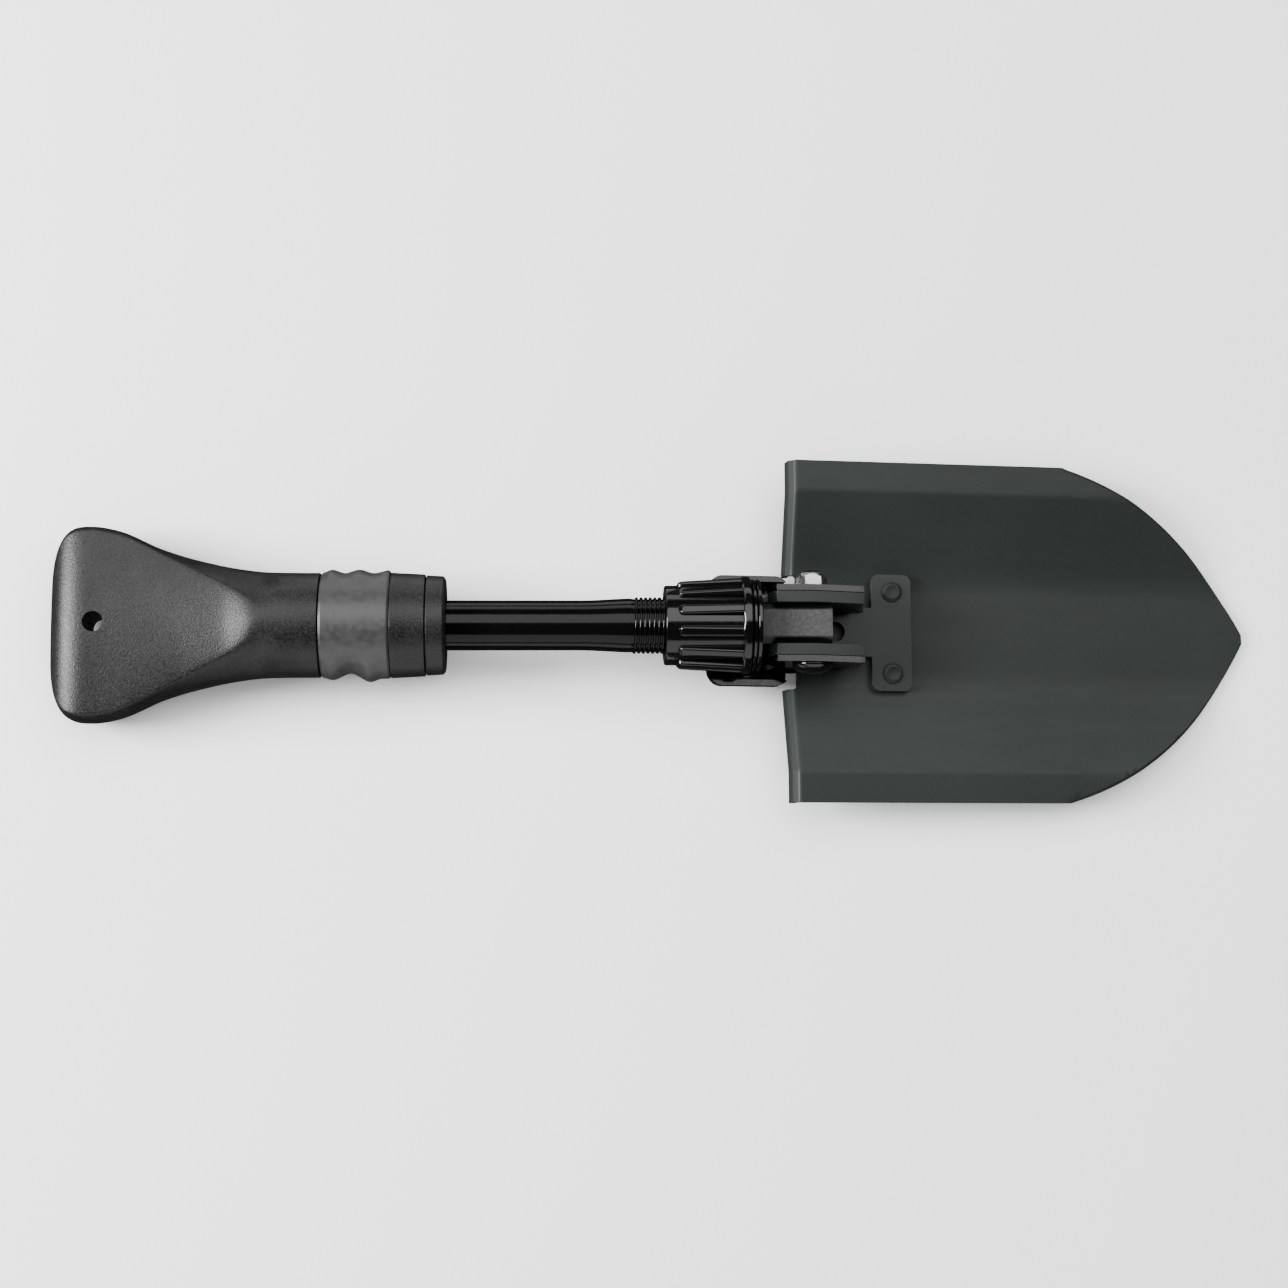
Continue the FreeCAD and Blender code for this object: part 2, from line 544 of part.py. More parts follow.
def rear_brace():
    """Pressed steel brace: a base riveted behind the blade, a neck through the blade's notch that
    carries the outer cheeks, and a shallow trough behind the collar."""
    gauge = dim("brace_sheet")
    skin = -dim("blade_sheet")
    rear, front = dim("trough_rear"), dim("trough_front")
    half = dim("trough_half_width")
    floor = -dim("trough_drop")
    outer = rounded_plate(rear, front, half, floor - gauge, floor + dim("trough_wall"),
                          dim("trough_corner"))
    inner = rounded_plate(rear - 12, front + 12, half - gauge, floor, floor + 30, 2.0)
    trough = outer.cut(inner.makeFillet(4.0, long_edges_below(inner, floor + 1)))
    trough = trough.makeFillet(4.0, long_edges_below(trough, floor - gauge + 0.1))
    neck_half = dim("brace_neck")
    joggle = Part.Face(Part.makePolygon([
        Vector(front - 0.5, -neck_half, floor - gauge), Vector(front - 0.5, -neck_half, floor),
        Vector(front + 3.0, -neck_half, skin), Vector(front + 6.0, -neck_half, skin),
        Vector(front + 6.0, -neck_half, skin - gauge), Vector(front + 3.0, -neck_half, skin - gauge),
        Vector(front - 0.5, -neck_half, floor - gauge)])).extrude(Vector(0, 2 * neck_half, 0))
    base = rounded_plate(dim("notch_front") + 1.0, dim("brace_front"), dim("plate_half_width") - 1.5,
                         skin - gauge, skin, 3.0)
    front_line = [(dim("ear_front"), dim("cheek_front_low")), (dim("cheek_low_front"), dim("cheek_low"))]
    cheeks = in_blade_frame(ear(dim("cheek_inner"), dim("cheek_outer"), dim("cheek_low"), front_line))
    above = Part.makeBox(200, 100, 60, Vector(-60, -50, dim("cheek_floor")))
    cheeks = [plate.common(above) for plate in cheeks]
    leg_length = dim("notch_front") - 0.4 - dim("leg_rear")
    leg_height = dim("leg_top") - floor + gauge / 2
    for side in (dim("cheek_inner"), -dim("cheek_outer")):
        cheeks.append(Part.makeBox(leg_length, dim("cheek_outer") - dim("cheek_inner"), leg_height,
                                   Vector(dim("leg_rear"), side, floor - gauge / 2)))
    body = trough.fuse([joggle, base] + cheeks)
    body = body.cut(pin_hole()).cut(rivet_holes())
    body = body.cut(sheet_body(0.0, dim("blade_sheet"), dim("notch_front"), 60.0))
    return body.removeSplitter()


def rivet(side):
    """Rivet with a low domed head on the plate and a flat one behind the brace."""
    head, height = dim("rivet_head_radius"), dim("rivet_head_height")
    top = dim("plate_thickness")
    bottom = -dim("blade_sheet") - dim("brace_sheet")
    place = Vector(dim("rivet_x"), side * dim("rivet_y"), 0)
    front_head = Part.makeCylinder(head, height, place + Vector(0, 0, top))
    rim = [edge for edge in front_head.Edges if edge.CenterOfMass.z > top + height - 0.01]
    front_head = front_head.makeFillet(height * 0.7, rim)
    shank = Part.makeCylinder(dim("rivet_radius"), top - bottom, place + Vector(0, 0, bottom))
    back_head = Part.makeCylinder(head, 1.0, place + Vector(0, 0, bottom - 1.0))
    return front_head.fuse([shank, back_head]).removeSplitter()


for name, shape in (("blade", blade()), ("hinge_bracket", hinge_bracket()), ("rear_brace", rear_brace()),
                    ("blade_rivets", Part.makeCompound([rivet(1), rivet(-1)]))):
    nodes[name] = doc.addObject("Part::Feature", name)
    nodes[name].Shape = shape
    nodes[name].Placement = BLADE_FRAME


# ---------------------------------------------------------------- hinge bolt and nut
def pivot_bolt():
    """Carriage-type bolt, its low domed head on the -Y side."""
    return turned("pivot_bolt", [
        ("0", "-cheek_outer - bolt_head_height"),
        ("bolt_head_radius * 0.45", "-cheek_outer - bolt_head_height * 0.9"),
        ("bolt_head_radius * 0.8", "-cheek_outer - bolt_head_height * 0.6"),
        ("bolt_head_radius", "-cheek_outer - 0.8"), ("bolt_head_radius", "-cheek_outer"),
        ("pin_radius", "-cheek_outer"), ("pin_radius", "bolt_end - 0.6"),
        ("pin_radius - 0.6", "bolt_end"), ("0", "bolt_end")], about="V_Axis", height="pin_height")


def pivot_nut():
    """Self-locking nut with a rounded nylon end."""
    body = doc.addObject("Part::Prism", "nut_hexagon")
    body.Polygon = 6
    body.setExpression("Circumradius", bound("nut_corner_radius"))
    body.setExpression("Height", bound("nut_height"))
    body.Placement = Placement(Vector(0, dim("cheek_outer"), dim("pin_height")),
                               Rotation(Vector(0, 0, 1), ALONG_Y))
    dome = turned("nut_dome", [
        ("0", "cheek_outer"), ("nut_corner_radius", "cheek_outer"),
        ("nut_corner_radius", "cheek_outer + nut_height * 0.62"),
        ("nut_corner_radius * 0.8", "cheek_outer + nut_height"), ("0", "cheek_outer + nut_height")],
        about="V_Axis", height="pin_height")
    bore = solid("Cylinder", "nut_bore", ("0", "0", "pin_height"), ALONG_Y,
                 Radius="pin_radius", Height="40")
    return cut("pivot_nut", shared("nut_outside", body, dome), bore)


nodes["pivot_bolt"] = pivot_bolt()
nodes["pivot_nut"] = pivot_nut()
doc.recompute()


# ---------------------------------------------------------------- lay the tool down
def lying_placement():
    """The turn and shift that rest the neck's back and the blade's tip on Z = 0, with the
    overall box centred on X = 0."""
    lift = math.radians(dim("blade_lift"))
    tip_x = dim("blade_tip") * math.cos(lift) - dim("blade_sheet") * math.sin(lift)
    tip_z = dim("blade_height") - dim("blade_tip") * math.sin(lift) - dim("blade_sheet") * math.cos(lift)
    everything = Part.makeCompound([piece.Shape for piece in nodes.values()])
    neck_x, neck_z = dim("sleeve_rear"), -dim("rubber_radius")
    tilt = math.atan2(neck_z - tip_z, tip_x - neck_x)
    handle = Part.makeCompound([nodes[name].Shape for name in ("grip_back_shell", "rubber_grip")])
    for _ in range(3):
        turn = Rotation(ALONG_Y, -math.degrees(tilt))
        handle.Placement = Placement(Vector(), turn)
        drop = handle.optimalBoundingBox().ZMin - turn.multVec(Vector(tip_x, 0, tip_z)).z
        tilt += math.atan2(drop, tip_x - neck_x)
    turn = Rotation(ALONG_Y, -math.degrees(tilt))
    everything.Placement = Placement(Vector(), turn)
    box = everything.optimalBoundingBox()
    return Placement(Vector(-(box.XMin + box.XMax) / 2, 0, -box.ZMin), turn)


lying = lying_placement()
for name, piece in nodes.items():
    for path, _ in piece.ExpressionEngine:
        if "Placement" in path:
            piece.setExpression(path, None)
    piece.Placement = lying * piece.Placement
    piece.Label = name
doc.recompute()

for item in doc.Objects:
    if "Invalid" in item.State or "Error" in item.State:
        raise RuntimeError(f"{item.Name} did not recompute: {item.State}")
for name, piece in nodes.items():
    if piece.Shape.isNull() or not piece.Shape.isValid() or not piece.Shape.Solids:
        raise RuntimeError(f"{name} is not a valid solid")

for name, piece in nodes.items():
    piece.Shape.exportStep(f"parts/{name}.step")
    print(f"{name}: {len(piece.Shape.Solids)} solid(s), {piece.Shape.Volume / 1000:.2f} cm3")
print("lying", lying.Base, lying.Rotation.Axis, math.degrees(lying.Rotation.Angle))
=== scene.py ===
import json
import math

import bmesh
import bpy
import numpy as np
from mathutils import Matrix, Vector


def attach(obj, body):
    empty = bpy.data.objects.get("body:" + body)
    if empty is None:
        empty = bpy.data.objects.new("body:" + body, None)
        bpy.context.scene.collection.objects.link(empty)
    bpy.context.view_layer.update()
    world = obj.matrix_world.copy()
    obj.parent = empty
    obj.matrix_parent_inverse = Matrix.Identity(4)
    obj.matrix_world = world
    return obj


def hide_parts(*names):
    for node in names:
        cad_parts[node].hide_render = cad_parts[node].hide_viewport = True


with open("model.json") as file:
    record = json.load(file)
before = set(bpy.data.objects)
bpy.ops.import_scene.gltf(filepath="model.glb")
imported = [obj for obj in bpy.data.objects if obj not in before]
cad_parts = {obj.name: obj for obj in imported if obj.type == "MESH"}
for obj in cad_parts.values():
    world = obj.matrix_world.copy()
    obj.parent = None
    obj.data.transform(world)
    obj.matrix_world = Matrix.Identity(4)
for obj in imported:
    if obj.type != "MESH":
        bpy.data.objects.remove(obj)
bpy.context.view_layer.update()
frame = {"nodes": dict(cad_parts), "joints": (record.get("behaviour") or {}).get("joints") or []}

# ---------------------------------------------------------------- grip
# The grip is moulded in black nylon in two shells that meet on the tool's middle plane: a round
# neck spreads into a flat butt, whose front and back slope in from a point on the neck.  The
# mould is spark-eroded, so the skin is finely grained and the light breaks up on it.

# Every piece is drawn in millimetres on the tool's own lines, then laid in place: X along the
# shaft towards the blade, the hinge pin at X = 0 along Y, and Z out of the front.
MM = 0.001
joints = {joint["name"]: joint for joint in frame["joints"]}
shaft_line = Vector(joints["collar_turn"]["axis"]).normalized()
pin_line = Vector((0.0, 1.0, 0.0))
on_shaft, on_pin = Vector(joints["collar_turn"]["pos_m"]), Vector(joints["blade_fold"]["pos_m"])
crossing = on_shaft + shaft_line * (on_pin - on_shaft).dot(shaft_line)
TOOL = Matrix((shaft_line, pin_line, shaft_line.cross(pin_line))).transposed().to_4x4()
TOOL.translation = crossing
TOOL = TOOL @ Matrix.Scale(MM, 4)

NECK_RADIUS = 18.2
GRIP_END, BUTT_START, SLOPE_START, NECK_STEP, GRIP_FRONT = -264.2, -250.2, -192.4, -185.0, -171.6
GRIP_OUTLINE = [(-250.2, 34.0), (-241.0, 32.5), (-226.0, 26.1), (-208.0, 21.0), (-192.0, 18.6),
                (-180.0, 18.2), (-171.6, 18.2)]
GRIP_THICKNESS = [(-250.2, 11.2), (-232.0, 11.9), (-216.0, 13.3), (-204.0, 15.1), (-192.5, 18.1),
                  (-188.0, 18.2)]
FLAT_SPREAD, FLAT_POWER, WIDEST_FLAT = 1.366, 0.8, 0.9
END_SQUARENESS, EDGE_SQUARENESS, SCOOP_DEPTH, CROWN = 3.1, 2.3, 0.9, 0.15
SCOOP_END, SCOOP_FULL, CROWN_START, CROWN_FULL = -240.0, -200.0, -192.0, -222.0
NECK_ROLL, BUTT_ROLL, ROLL_RUN = 0.92, 0.62, 20.0
LANYARD_X, LANYARD_RADIUS = -248.3, 3.5
NECK_SEAT_RADIUS, NECK_SEAT_REAR, SHAFT_ROOM_RADIUS, SHAFT_ROOM_REAR = 14.02, -186.0, 10.7, -221.0
SCREW_PLACES = [(-239.0, 21.0), (-239.0, -21.0), (-206.0, 15.0), (-206.0, -15.0)]
SCREW_WELL_RADIUS, SCREW_WELL_FLOOR, PARTING_GAP = 3.0, -5.0, 0.06


def piece_from(name, mesh, body, material, replaces=(), sharp=35.0):
    """Lays a mesh drawn in the tool's millimetres in place and hands it to its body."""
    mesh.polygons.foreach_set("use_smooth", [True] * len(mesh.polygons))
    mesh.set_sharp_from_angle(angle=math.radians(sharp))
    mesh = applied(mesh, ("WEIGHTED_NORMAL", {"keep_sharp": True, "weight": 50}))
    mesh.transform(TOOL)
    mesh.materials.clear()
    mesh.materials.append(material)
    made = bpy.data.objects.new(name, mesh)
    bpy.context.scene.collection.objects.link(made)
    if replaces:
        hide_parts(*replaces)
    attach(made, body)
    return made


def mesh_from(name, verts, faces):
    mesh = bpy.data.meshes.new(name)
    mesh.from_pydata([tuple(v) for v in verts], [], faces)
    work = bmesh.new()
    work.from_mesh(mesh)
    bmesh.ops.remove_doubles(work, verts=work.verts, dist=1e-4)
    bmesh.ops.recalc_face_normals(work, faces=work.faces)
    work.to_mesh(mesh)
    work.free()
    return mesh


def skinned(name, rings, closed_ends=True):
    """A closed skin over a row of rings with equal counts of points."""
    count = len(rings[0])
    verts = [point for line in rings for point in line]
    faces = []
    for row in range(len(rings) - 1):
        for step in range(count):
            a, b = row * count + step, row * count + (step + 1) % count
            faces.append((a, b, b + count, a + count))
    if closed_ends:
        faces.append(tuple(range(count)))
        faces.append(tuple(range(len(verts) - count, len(verts))))
    return mesh_from(name, verts, faces)


def applied(mesh, *modifiers):
    """The mesh after modifiers, each a type and its settings."""
    carrier = bpy.data.objects.new("carrier", mesh)
    bpy.context.scene.collection.objects.link(carrier)
    for kind, settings in modifiers:
        modifier = carrier.modifiers.new(kind.lower(), kind)
        for setting, number in settings.items():
            setattr(modifier, setting, number)
    evaluated = carrier.evaluated_get(bpy.context.evaluated_depsgraph_get())
    result = bpy.data.meshes.new_from_object(evaluated)
    bpy.data.objects.remove(carrier)
    return result


def carved(mesh, *tools, operation="DIFFERENCE"):
    """The mesh cut by, or joined with, other closed meshes."""
    for tool in tools:
        holder = bpy.data.objects.new("tool", tool)
        bpy.context.scene.collection.objects.link(holder)
        mesh = applied(mesh, ("BOOLEAN", {"object": holder, "operation": operation, "solver": "EXACT"}))
        bpy.data.objects.remove(holder)
    return mesh


def eased(x, points):
    """A smooth curve through a few (x, y) points, with slopes from the points beside."""
    places = [place for place, _ in points]
    values = [number for _, number in points]
    slopes = list(np.gradient(values, places))
    slopes[0] = 0.0
    slopes[-1] = 0.0
    x = min(max(x, places[0]), places[-1])
    k = max(index for index in range(len(places) - 1) if places[index] <= x or index == 0)
    span = places[k + 1] - places[k]
    u = (x - places[k]) / span
    rise = (2 * u ** 3 - 3 * u ** 2 + 1) * values[k] + (3 * u ** 2 - 2 * u ** 3) * values[k + 1]
    return rise + span * ((u ** 3 - 2 * u ** 2 + u) * slopes[k] + (u ** 3 - u ** 2) * slopes[k + 1])


def smooth(x, low, high):
    u = min(max((x - low) / (high - low), 0.0), 1.0)
    return u * u * (3 - 2 * u)


def grip_ring(x, count=160):
    """One closed section of the grip: a flat of growing width, rolled over into the sides."""
    width = eased(x, GRIP_OUTLINE)
    thickness = eased(x, GRIP_THICKNESS)
    flat = FLAT_SPREAD * max(SLOPE_START - x, 0.0) ** FLAT_POWER
    if x < BUTT_START:
        reach = min((BUTT_START - x) / (BUTT_START - GRIP_END), 1.0)
        width *= (1 - reach ** END_SQUARENESS) ** (1 / END_SQUARENESS)
        thickness *= (1 - reach ** EDGE_SQUARENESS) ** (1 / EDGE_SQUARENESS)
    flat = min(flat, WIDEST_FLAT * width)
    scoop = SCOOP_DEPTH * smooth(-x, -NECK_STEP - 0.6, -NECK_STEP + 6.0) * smooth(x, SCOOP_END, SCOOP_FULL)
    crown = CROWN * smooth(-x, -CROWN_START, -CROWN_FULL)
    roll = NECK_ROLL - (NECK_ROLL - BUTT_ROLL) * smooth(-x, -SLOPE_START, -SLOPE_START + ROLL_RUN)
    points = []
    for step in range(count):
        turn = 2 * math.pi * step / count
        across, rise = math.cos(turn), math.sin(turn)
        y = math.copysign(flat, across) * smooth(abs(across), 0.0, 0.3) + (width - flat) * across
        y = math.copysign(min(abs(y), width), across)
        shoulder = 1 - scoop / width * math.sin(2 * math.acos(min(abs(across), 1.0))) ** 2
        height = thickness * (1 - crown * (y / width) ** 2) * shoulder
        points.append((x, y * shoulder, height * math.copysign(abs(rise) ** roll, rise)))
    return points


def rod(radius, start, end, sides=96):
    """A cylinder between two points, as a tool for cutting or a plain pin."""
    start, end = Vector(start), Vector(end)
    turn = Vector((0, 0, 1)).rotation_difference(end - start).to_matrix()
    rings = []
    for centre in (start, end):
        rings.append([centre + turn @ Vector((radius * math.cos(2 * math.pi * k / sides),
                                              radius * math.sin(2 * math.pi * k / sides), 0))
                      for k in range(sides)])
    return skinned("rod", rings)


class Shade:
    """A shader socket with arithmetic, so that masks and mixes read as sums."""

    def __init__(self, tree, socket):
        self.tree, self.socket = tree, socket

    def node(self, kind, settings=None, sockets=None, out=0):
        made = self.tree.nodes.new(kind)
        for name, setting in (settings or {}).items():
            setattr(made, name, setting)
        for name, given in (sockets or {}).items():
            if isinstance(given, Shade):
                self.tree.links.new(given.socket, made.inputs[name])
            else:
                made.inputs[name].default_value = given
        return Shade(self.tree, made.outputs[out])

    def maths(self, operation, *terms):
        return self.node("ShaderNodeMath", {"operation": operation}, dict(enumerate(terms)))

    def __add__(self, other):
        return self.maths("ADD", self, other)

    def __radd__(self, other):
        return self.maths("ADD", other, self)

    def __sub__(self, other):
        return self.maths("SUBTRACT", self, other)

    def __rsub__(self, other):
        return self.maths("SUBTRACT", other, self)

    def __mul__(self, other):
        return self.maths("MULTIPLY", self, other)

    def __rmul__(self, other):
        return self.maths("MULTIPLY", other, self)

    def ramp(self, low, high, floor=0.0, ceiling=1.0):
        """This value spread smoothly from low..high to floor..ceiling."""
        return self.node("ShaderNodeMapRange", {"interpolation_type": "SMOOTHSTEP"}, {
            "Value": self, "From Min": low, "From Max": high, "To Min": floor, "To Max": ceiling})

    def noise(self, scale, detail=3.0, rough=0.55):
        return self.node("ShaderNodeTexNoise", {}, {
            "Vector": self, "Scale": scale, "Detail": detail, "Roughness": rough})

    def tint(self, dark, light):
        """A colour between two colours, by this value."""
        return self.node("ShaderNodeMix", {"data_type": "RGBA"}, {
            "Factor": self, 6: (*dark, 1.0), 7: (*light, 1.0)}, out=2)

    def bump(self, strength, distance):
        return self.node("ShaderNodeBump", {}, {"Height": self, "Strength": strength, "Distance": distance})


def finish_material(name, build, **fixed):
    """A Principled material; build gives what varies, fixed gives the plain values."""
    material = bpy.data.materials.new(name)
    material.use_nodes = True
    tree = material.node_tree
    shader = tree.nodes["Principled BSDF"]
    place = Shade(tree, tree.nodes.new("ShaderNodeTexCoord").outputs["Object"])
    for socket, given in build(place).items():
        tree.links.new(given.socket, shader.inputs[socket])
    for socket, number in fixed.items():
        shader.inputs[socket.replace("_", " ")].default_value = number
    return material


def nylon_skin(place):
    grain = place.noise(1700.0, 2.0, 0.6)
    fine = place.noise(4200.0, 1.0)
    cloud = place.noise(60.0, 2.0)
    height = grain * 0.8 + fine * 0.2
    shade = (grain * 0.7 + cloud * 0.3).ramp(0.25, 0.75)
    return {"Base Color": shade.tint((0.001, 0.001, 0.0011), (0.017, 0.0174, 0.0178)),
            "Roughness": grain.ramp(0.3, 0.7, 0.31, 0.43),
            "Normal": height.bump(0.32, 0.0004)}


grip_nylon = finish_material("grained_nylon", nylon_skin, Specular_IOR_Level=0.3)


def grip_body():
    """Both shells in one, before they are split."""
    butt = BUTT_START - GRIP_END
    places = [GRIP_END + butt * (1 - math.cos(math.pi / 2 * k / 26)) for k in range(1, 27)]
    places += list(np.linspace(BUTT_START, NECK_STEP - 2.0, 70)[1:])
    places += list(np.linspace(NECK_STEP - 2.0, NECK_STEP + 1.0, 12)[1:])
    places += [-180.0, GRIP_FRONT - 0.5]
    rings = [grip_ring(x) for x in places]
    neck = rings[-1]
    for x, drop in ((GRIP_FRONT - 0.15, 0.15), (GRIP_FRONT, 0.5)):
        shrink = 1 - drop / NECK_RADIUS
        rings.append([(x, y * shrink, z * shrink) for _, y, z in neck])
    return skinned("grip", rings)


def half_box(front_side):
    """Everything on one side of the middle plane, with a hair's gap for the parting line."""
    low, high = (PARTING_GAP, 40.0) if front_side else (-40.0, -PARTING_GAP)
    corners = [(x, y, z) for x in (-300.0, -150.0) for y in (-60.0, 60.0) for z in (low, high)]
    faces = [(0, 1, 3, 2), (4, 6, 7, 5), (0, 4, 5, 1), (2, 3, 7, 6), (0, 2, 6, 4), (1, 5, 7, 3)]
    return mesh_from("half", corners, faces)


grip = carved(grip_body(),
              rod(NECK_SEAT_RADIUS, (NECK_SEAT_REAR, 0, 0), (GRIP_FRONT + 2, 0, 0)),
              rod(SHAFT_ROOM_RADIUS, (SHAFT_ROOM_REAR, 0, 0), (NECK_SEAT_REAR + 1, 0, 0)),
              rod(LANYARD_RADIUS, (LANYARD_X, 0, -30), (LANYARD_X, 0, 30), 64))
screw_wells = [rod(SCREW_WELL_RADIUS, (x, y, -30), (x, y, SCREW_WELL_FLOOR), 48) for x, y in SCREW_PLACES]
soft_edge = ("BEVEL", {"width": 0.35, "segments": 3, "limit_method": "ANGLE",
                       "angle_limit": math.radians(38)})
front_shell = applied(carved(grip.copy(), half_box(True), operation="INTERSECT"), soft_edge)
back_shell = applied(carved(carved(grip, half_box(False), operation="INTERSECT"), *screw_wells), soft_edge)
piece_from("grip_front", front_shell, "handle", grip_nylon, ["grip_front_shell"])
piece_from("grip_back", back_shell, "handle", grip_nylon, ["grip_back_shell"])


# ---------------------------------------------------------------- rubber band
# A soft rubber band is moulded over the turning sleeve.  Its front and back are plain, and its
# two sides carry finger ridges, deeper on the lower side.
RUBBER_REAR, RUBBER_FRONT, RUBBER_SEAT, RUBBER_RADIUS = -171.2, -147.5, 16.0, 18.35
EDGE_DROP, EDGE_RUN = 0.45, 0.7
UPPER_RIDGES = [(-171.2, 0.0), (-167.7, 1.0), (-163.1, -0.1), (-158.3, 1.1), (-153.3, -0.1), (-147.5, 1.0)]
LOWER_RIDGES = [(-171.2, -0.1), (-167.5, 0.7), (-161.1, -1.5), (-154.1, 1.4), (-150.7, 0.3), (-147.5, 0.3)]


def rubber_skin(place):
    mottle = place.noise(380.0, 4.0)
    fine = place.noise(2600.0, 2.0)
    return {"Base Color": mottle.ramp(0.3, 0.7).tint((0.021, 0.0215, 0.0215), (0.03, 0.0305, 0.0305)),
            "Roughness": mottle.ramp(0.3, 0.7, 0.38, 0.48),
            "Normal": fine.bump(0.18, 0.0001)}


rubber = finish_material("ridged_rubber", rubber_skin, Specular_IOR_Level=0.6)


def rubber_band():
    sides = 200
    rings = []
    places = np.linspace(RUBBER_REAR, RUBBER_FRONT, 90)
    for x in places:
        end = min(x - RUBBER_REAR, RUBBER_FRONT - x)
        roll = EDGE_DROP * (1 - smooth(end, 0.0, EDGE_RUN))
        line = []
        for k in range(sides):
            turn = 2 * math.pi * k / sides
            across = math.cos(turn)
            ridges = eased(x, UPPER_RIDGES if across > 0 else LOWER_RIDGES)
            radius = RUBBER_RADIUS - roll + ridges * smooth(abs(across), 0.62, 0.97)
            line.append((x, radius * across, radius * math.sin(turn)))
        rings.append(line)
    for x in (RUBBER_FRONT, RUBBER_REAR):
        rings.append([(x, RUBBER_SEAT * math.cos(2 * math.pi * k / sides),
                       RUBBER_SEAT * math.sin(2 * math.pi * k / sides)) for k in range(sides)])
    rings.append(rings[0])
    return skinned("rubber_band", rings, closed_ends=False)


piece_from("rubber_band", rubber_band(), "twist_lock", rubber, ["rubber_grip"])


# ---------------------------------------------------------------- neck rings
# In front of the rubber the turning sleeve shows as a plain nylon ring, and the end ring behind
# which the clamp sits closes the neck.  Both are turned-looking mouldings with broken edges.
SLEEVE_REAR, SLEEVE_FRONT, SLEEVE_BORE = -171.4, -135.3, 14.05
SLEEVE_SHOULDER, SLEEVE_SHOULDER_RADIUS, SLEEVE_NOSE_RADIUS = RUBBER_FRONT + 0.3, 18.4, 17.8
END_REAR, END_SEAT, END_FRONT = -134.9, -131.5, -128.2
END_RADIUS, END_LIP_RADIUS, END_SEAT_RADIUS, END_MOUTH = 17.5, 16.2, 14.02, 11.6


def turned(name, profile, sides=160, closed=True):
    """A skin turned about the shaft line from a closed (x, r) outline."""
    rings = [[(x, r * math.cos(2 * math.pi * k / sides), r * math.sin(2 * math.pi * k / sides))
              for k in range(sides)] for x, r in profile]
    if closed:
        rings.append(rings[0])
    return skinned(name, rings, closed_ends=not closed)


def filleted(points, radius, steps=4, closed=True):
    """An outline with every corner rounded by up to a radius."""
    rounded = []
    last = len(points)
    for index in range(last):
        corner = Vector(points[index][:2])
        size = points[index][2] if len(points[index]) > 2 else radius
        before, after = Vector(points[index - 1][:2]), Vector(points[(index + 1) % last][:2])
        if not closed and index in (0, last - 1) or size == 0:
            rounded.append(tuple(corner))
            continue
        back, ahead = before - corner, after - corner
        back = back.normalized() * min(size, back.length * 0.49)
        ahead = ahead.normalized() * min(size, ahead.length * 0.49)
        for step in range(steps + 1):
            u = step / steps
            rounded.append(tuple(corner + back * (1 - u) ** 2 + ahead * u ** 2))
    return rounded


sleeve_outline = [(SLEEVE_REAR, SLEEVE_BORE), (SLEEVE_REAR, RUBBER_SEAT), (SLEEVE_SHOULDER, RUBBER_SEAT, 0),
                  (SLEEVE_SHOULDER, SLEEVE_SHOULDER_RADIUS), (SLEEVE_FRONT, SLEEVE_NOSE_RADIUS),
                  (SLEEVE_FRONT, SLEEVE_BORE)]
end_outline = [(END_REAR, END_SEAT_RADIUS), (END_REAR, END_RADIUS), (END_FRONT - 0.9, END_RADIUS - 0.3),
               (END_FRONT, END_LIP_RADIUS, 0.6), (END_FRONT, END_MOUTH), (END_SEAT, END_MOUTH),
               (END_SEAT, END_SEAT_RADIUS)]
piece_from("sleeve_ring", turned("sleeve_ring", filleted(sleeve_outline, 0.35)), "twist_lock",
           grip_nylon, ["twist_sleeve"])
piece_from("mouth_ring", turned("mouth_ring", filleted(end_outline, 0.35)), "handle",
           grip_nylon, ["end_ring"])


# ---------------------------------------------------------------- shaft
# The shaft is a steel tube, swaged out to a thicker head end and threaded there for the lock
# collar, then stove-enamelled in glossy black.  The thread is one helical ridge.
SHAFT_REAR, SHAFT_RADIUS, SHAFT_BORE, SHAFT_FRONT = -172.2, 8.75, 7.35, -18.5
FLARE = [(-80.0, 8.75), (-74.0, 9.0), (-68.0, 9.35), (-64.0, 9.5)]
THREAD_REAR, THREAD_ROOT, THREAD_CREST, THREAD_PITCH, THREAD_RIDGE = -63.0, 9.2, 9.95, 1.62, 0.6


def enamel_skin(place):
    peel = place.noise(420.0, 1.5)
    dust = place.noise(1900.0, 3.0)
    return {"Roughness": dust.ramp(0.45, 0.75, 0.1, 0.2),
            "Base Color": dust.ramp(0.35, 0.8).tint((0.0015, 0.0015, 0.0016), (0.003, 0.003, 0.0032)),
            "Normal": (peel * 0.8 + dust * 0.2).bump(0.06, 0.0003)}


enamel = finish_material("black_enamel", enamel_skin, Specular_IOR_Level=0.44)
shaft_enamel = finish_material("shaft_enamel", enamel_skin, Specular_IOR_Level=0.2)


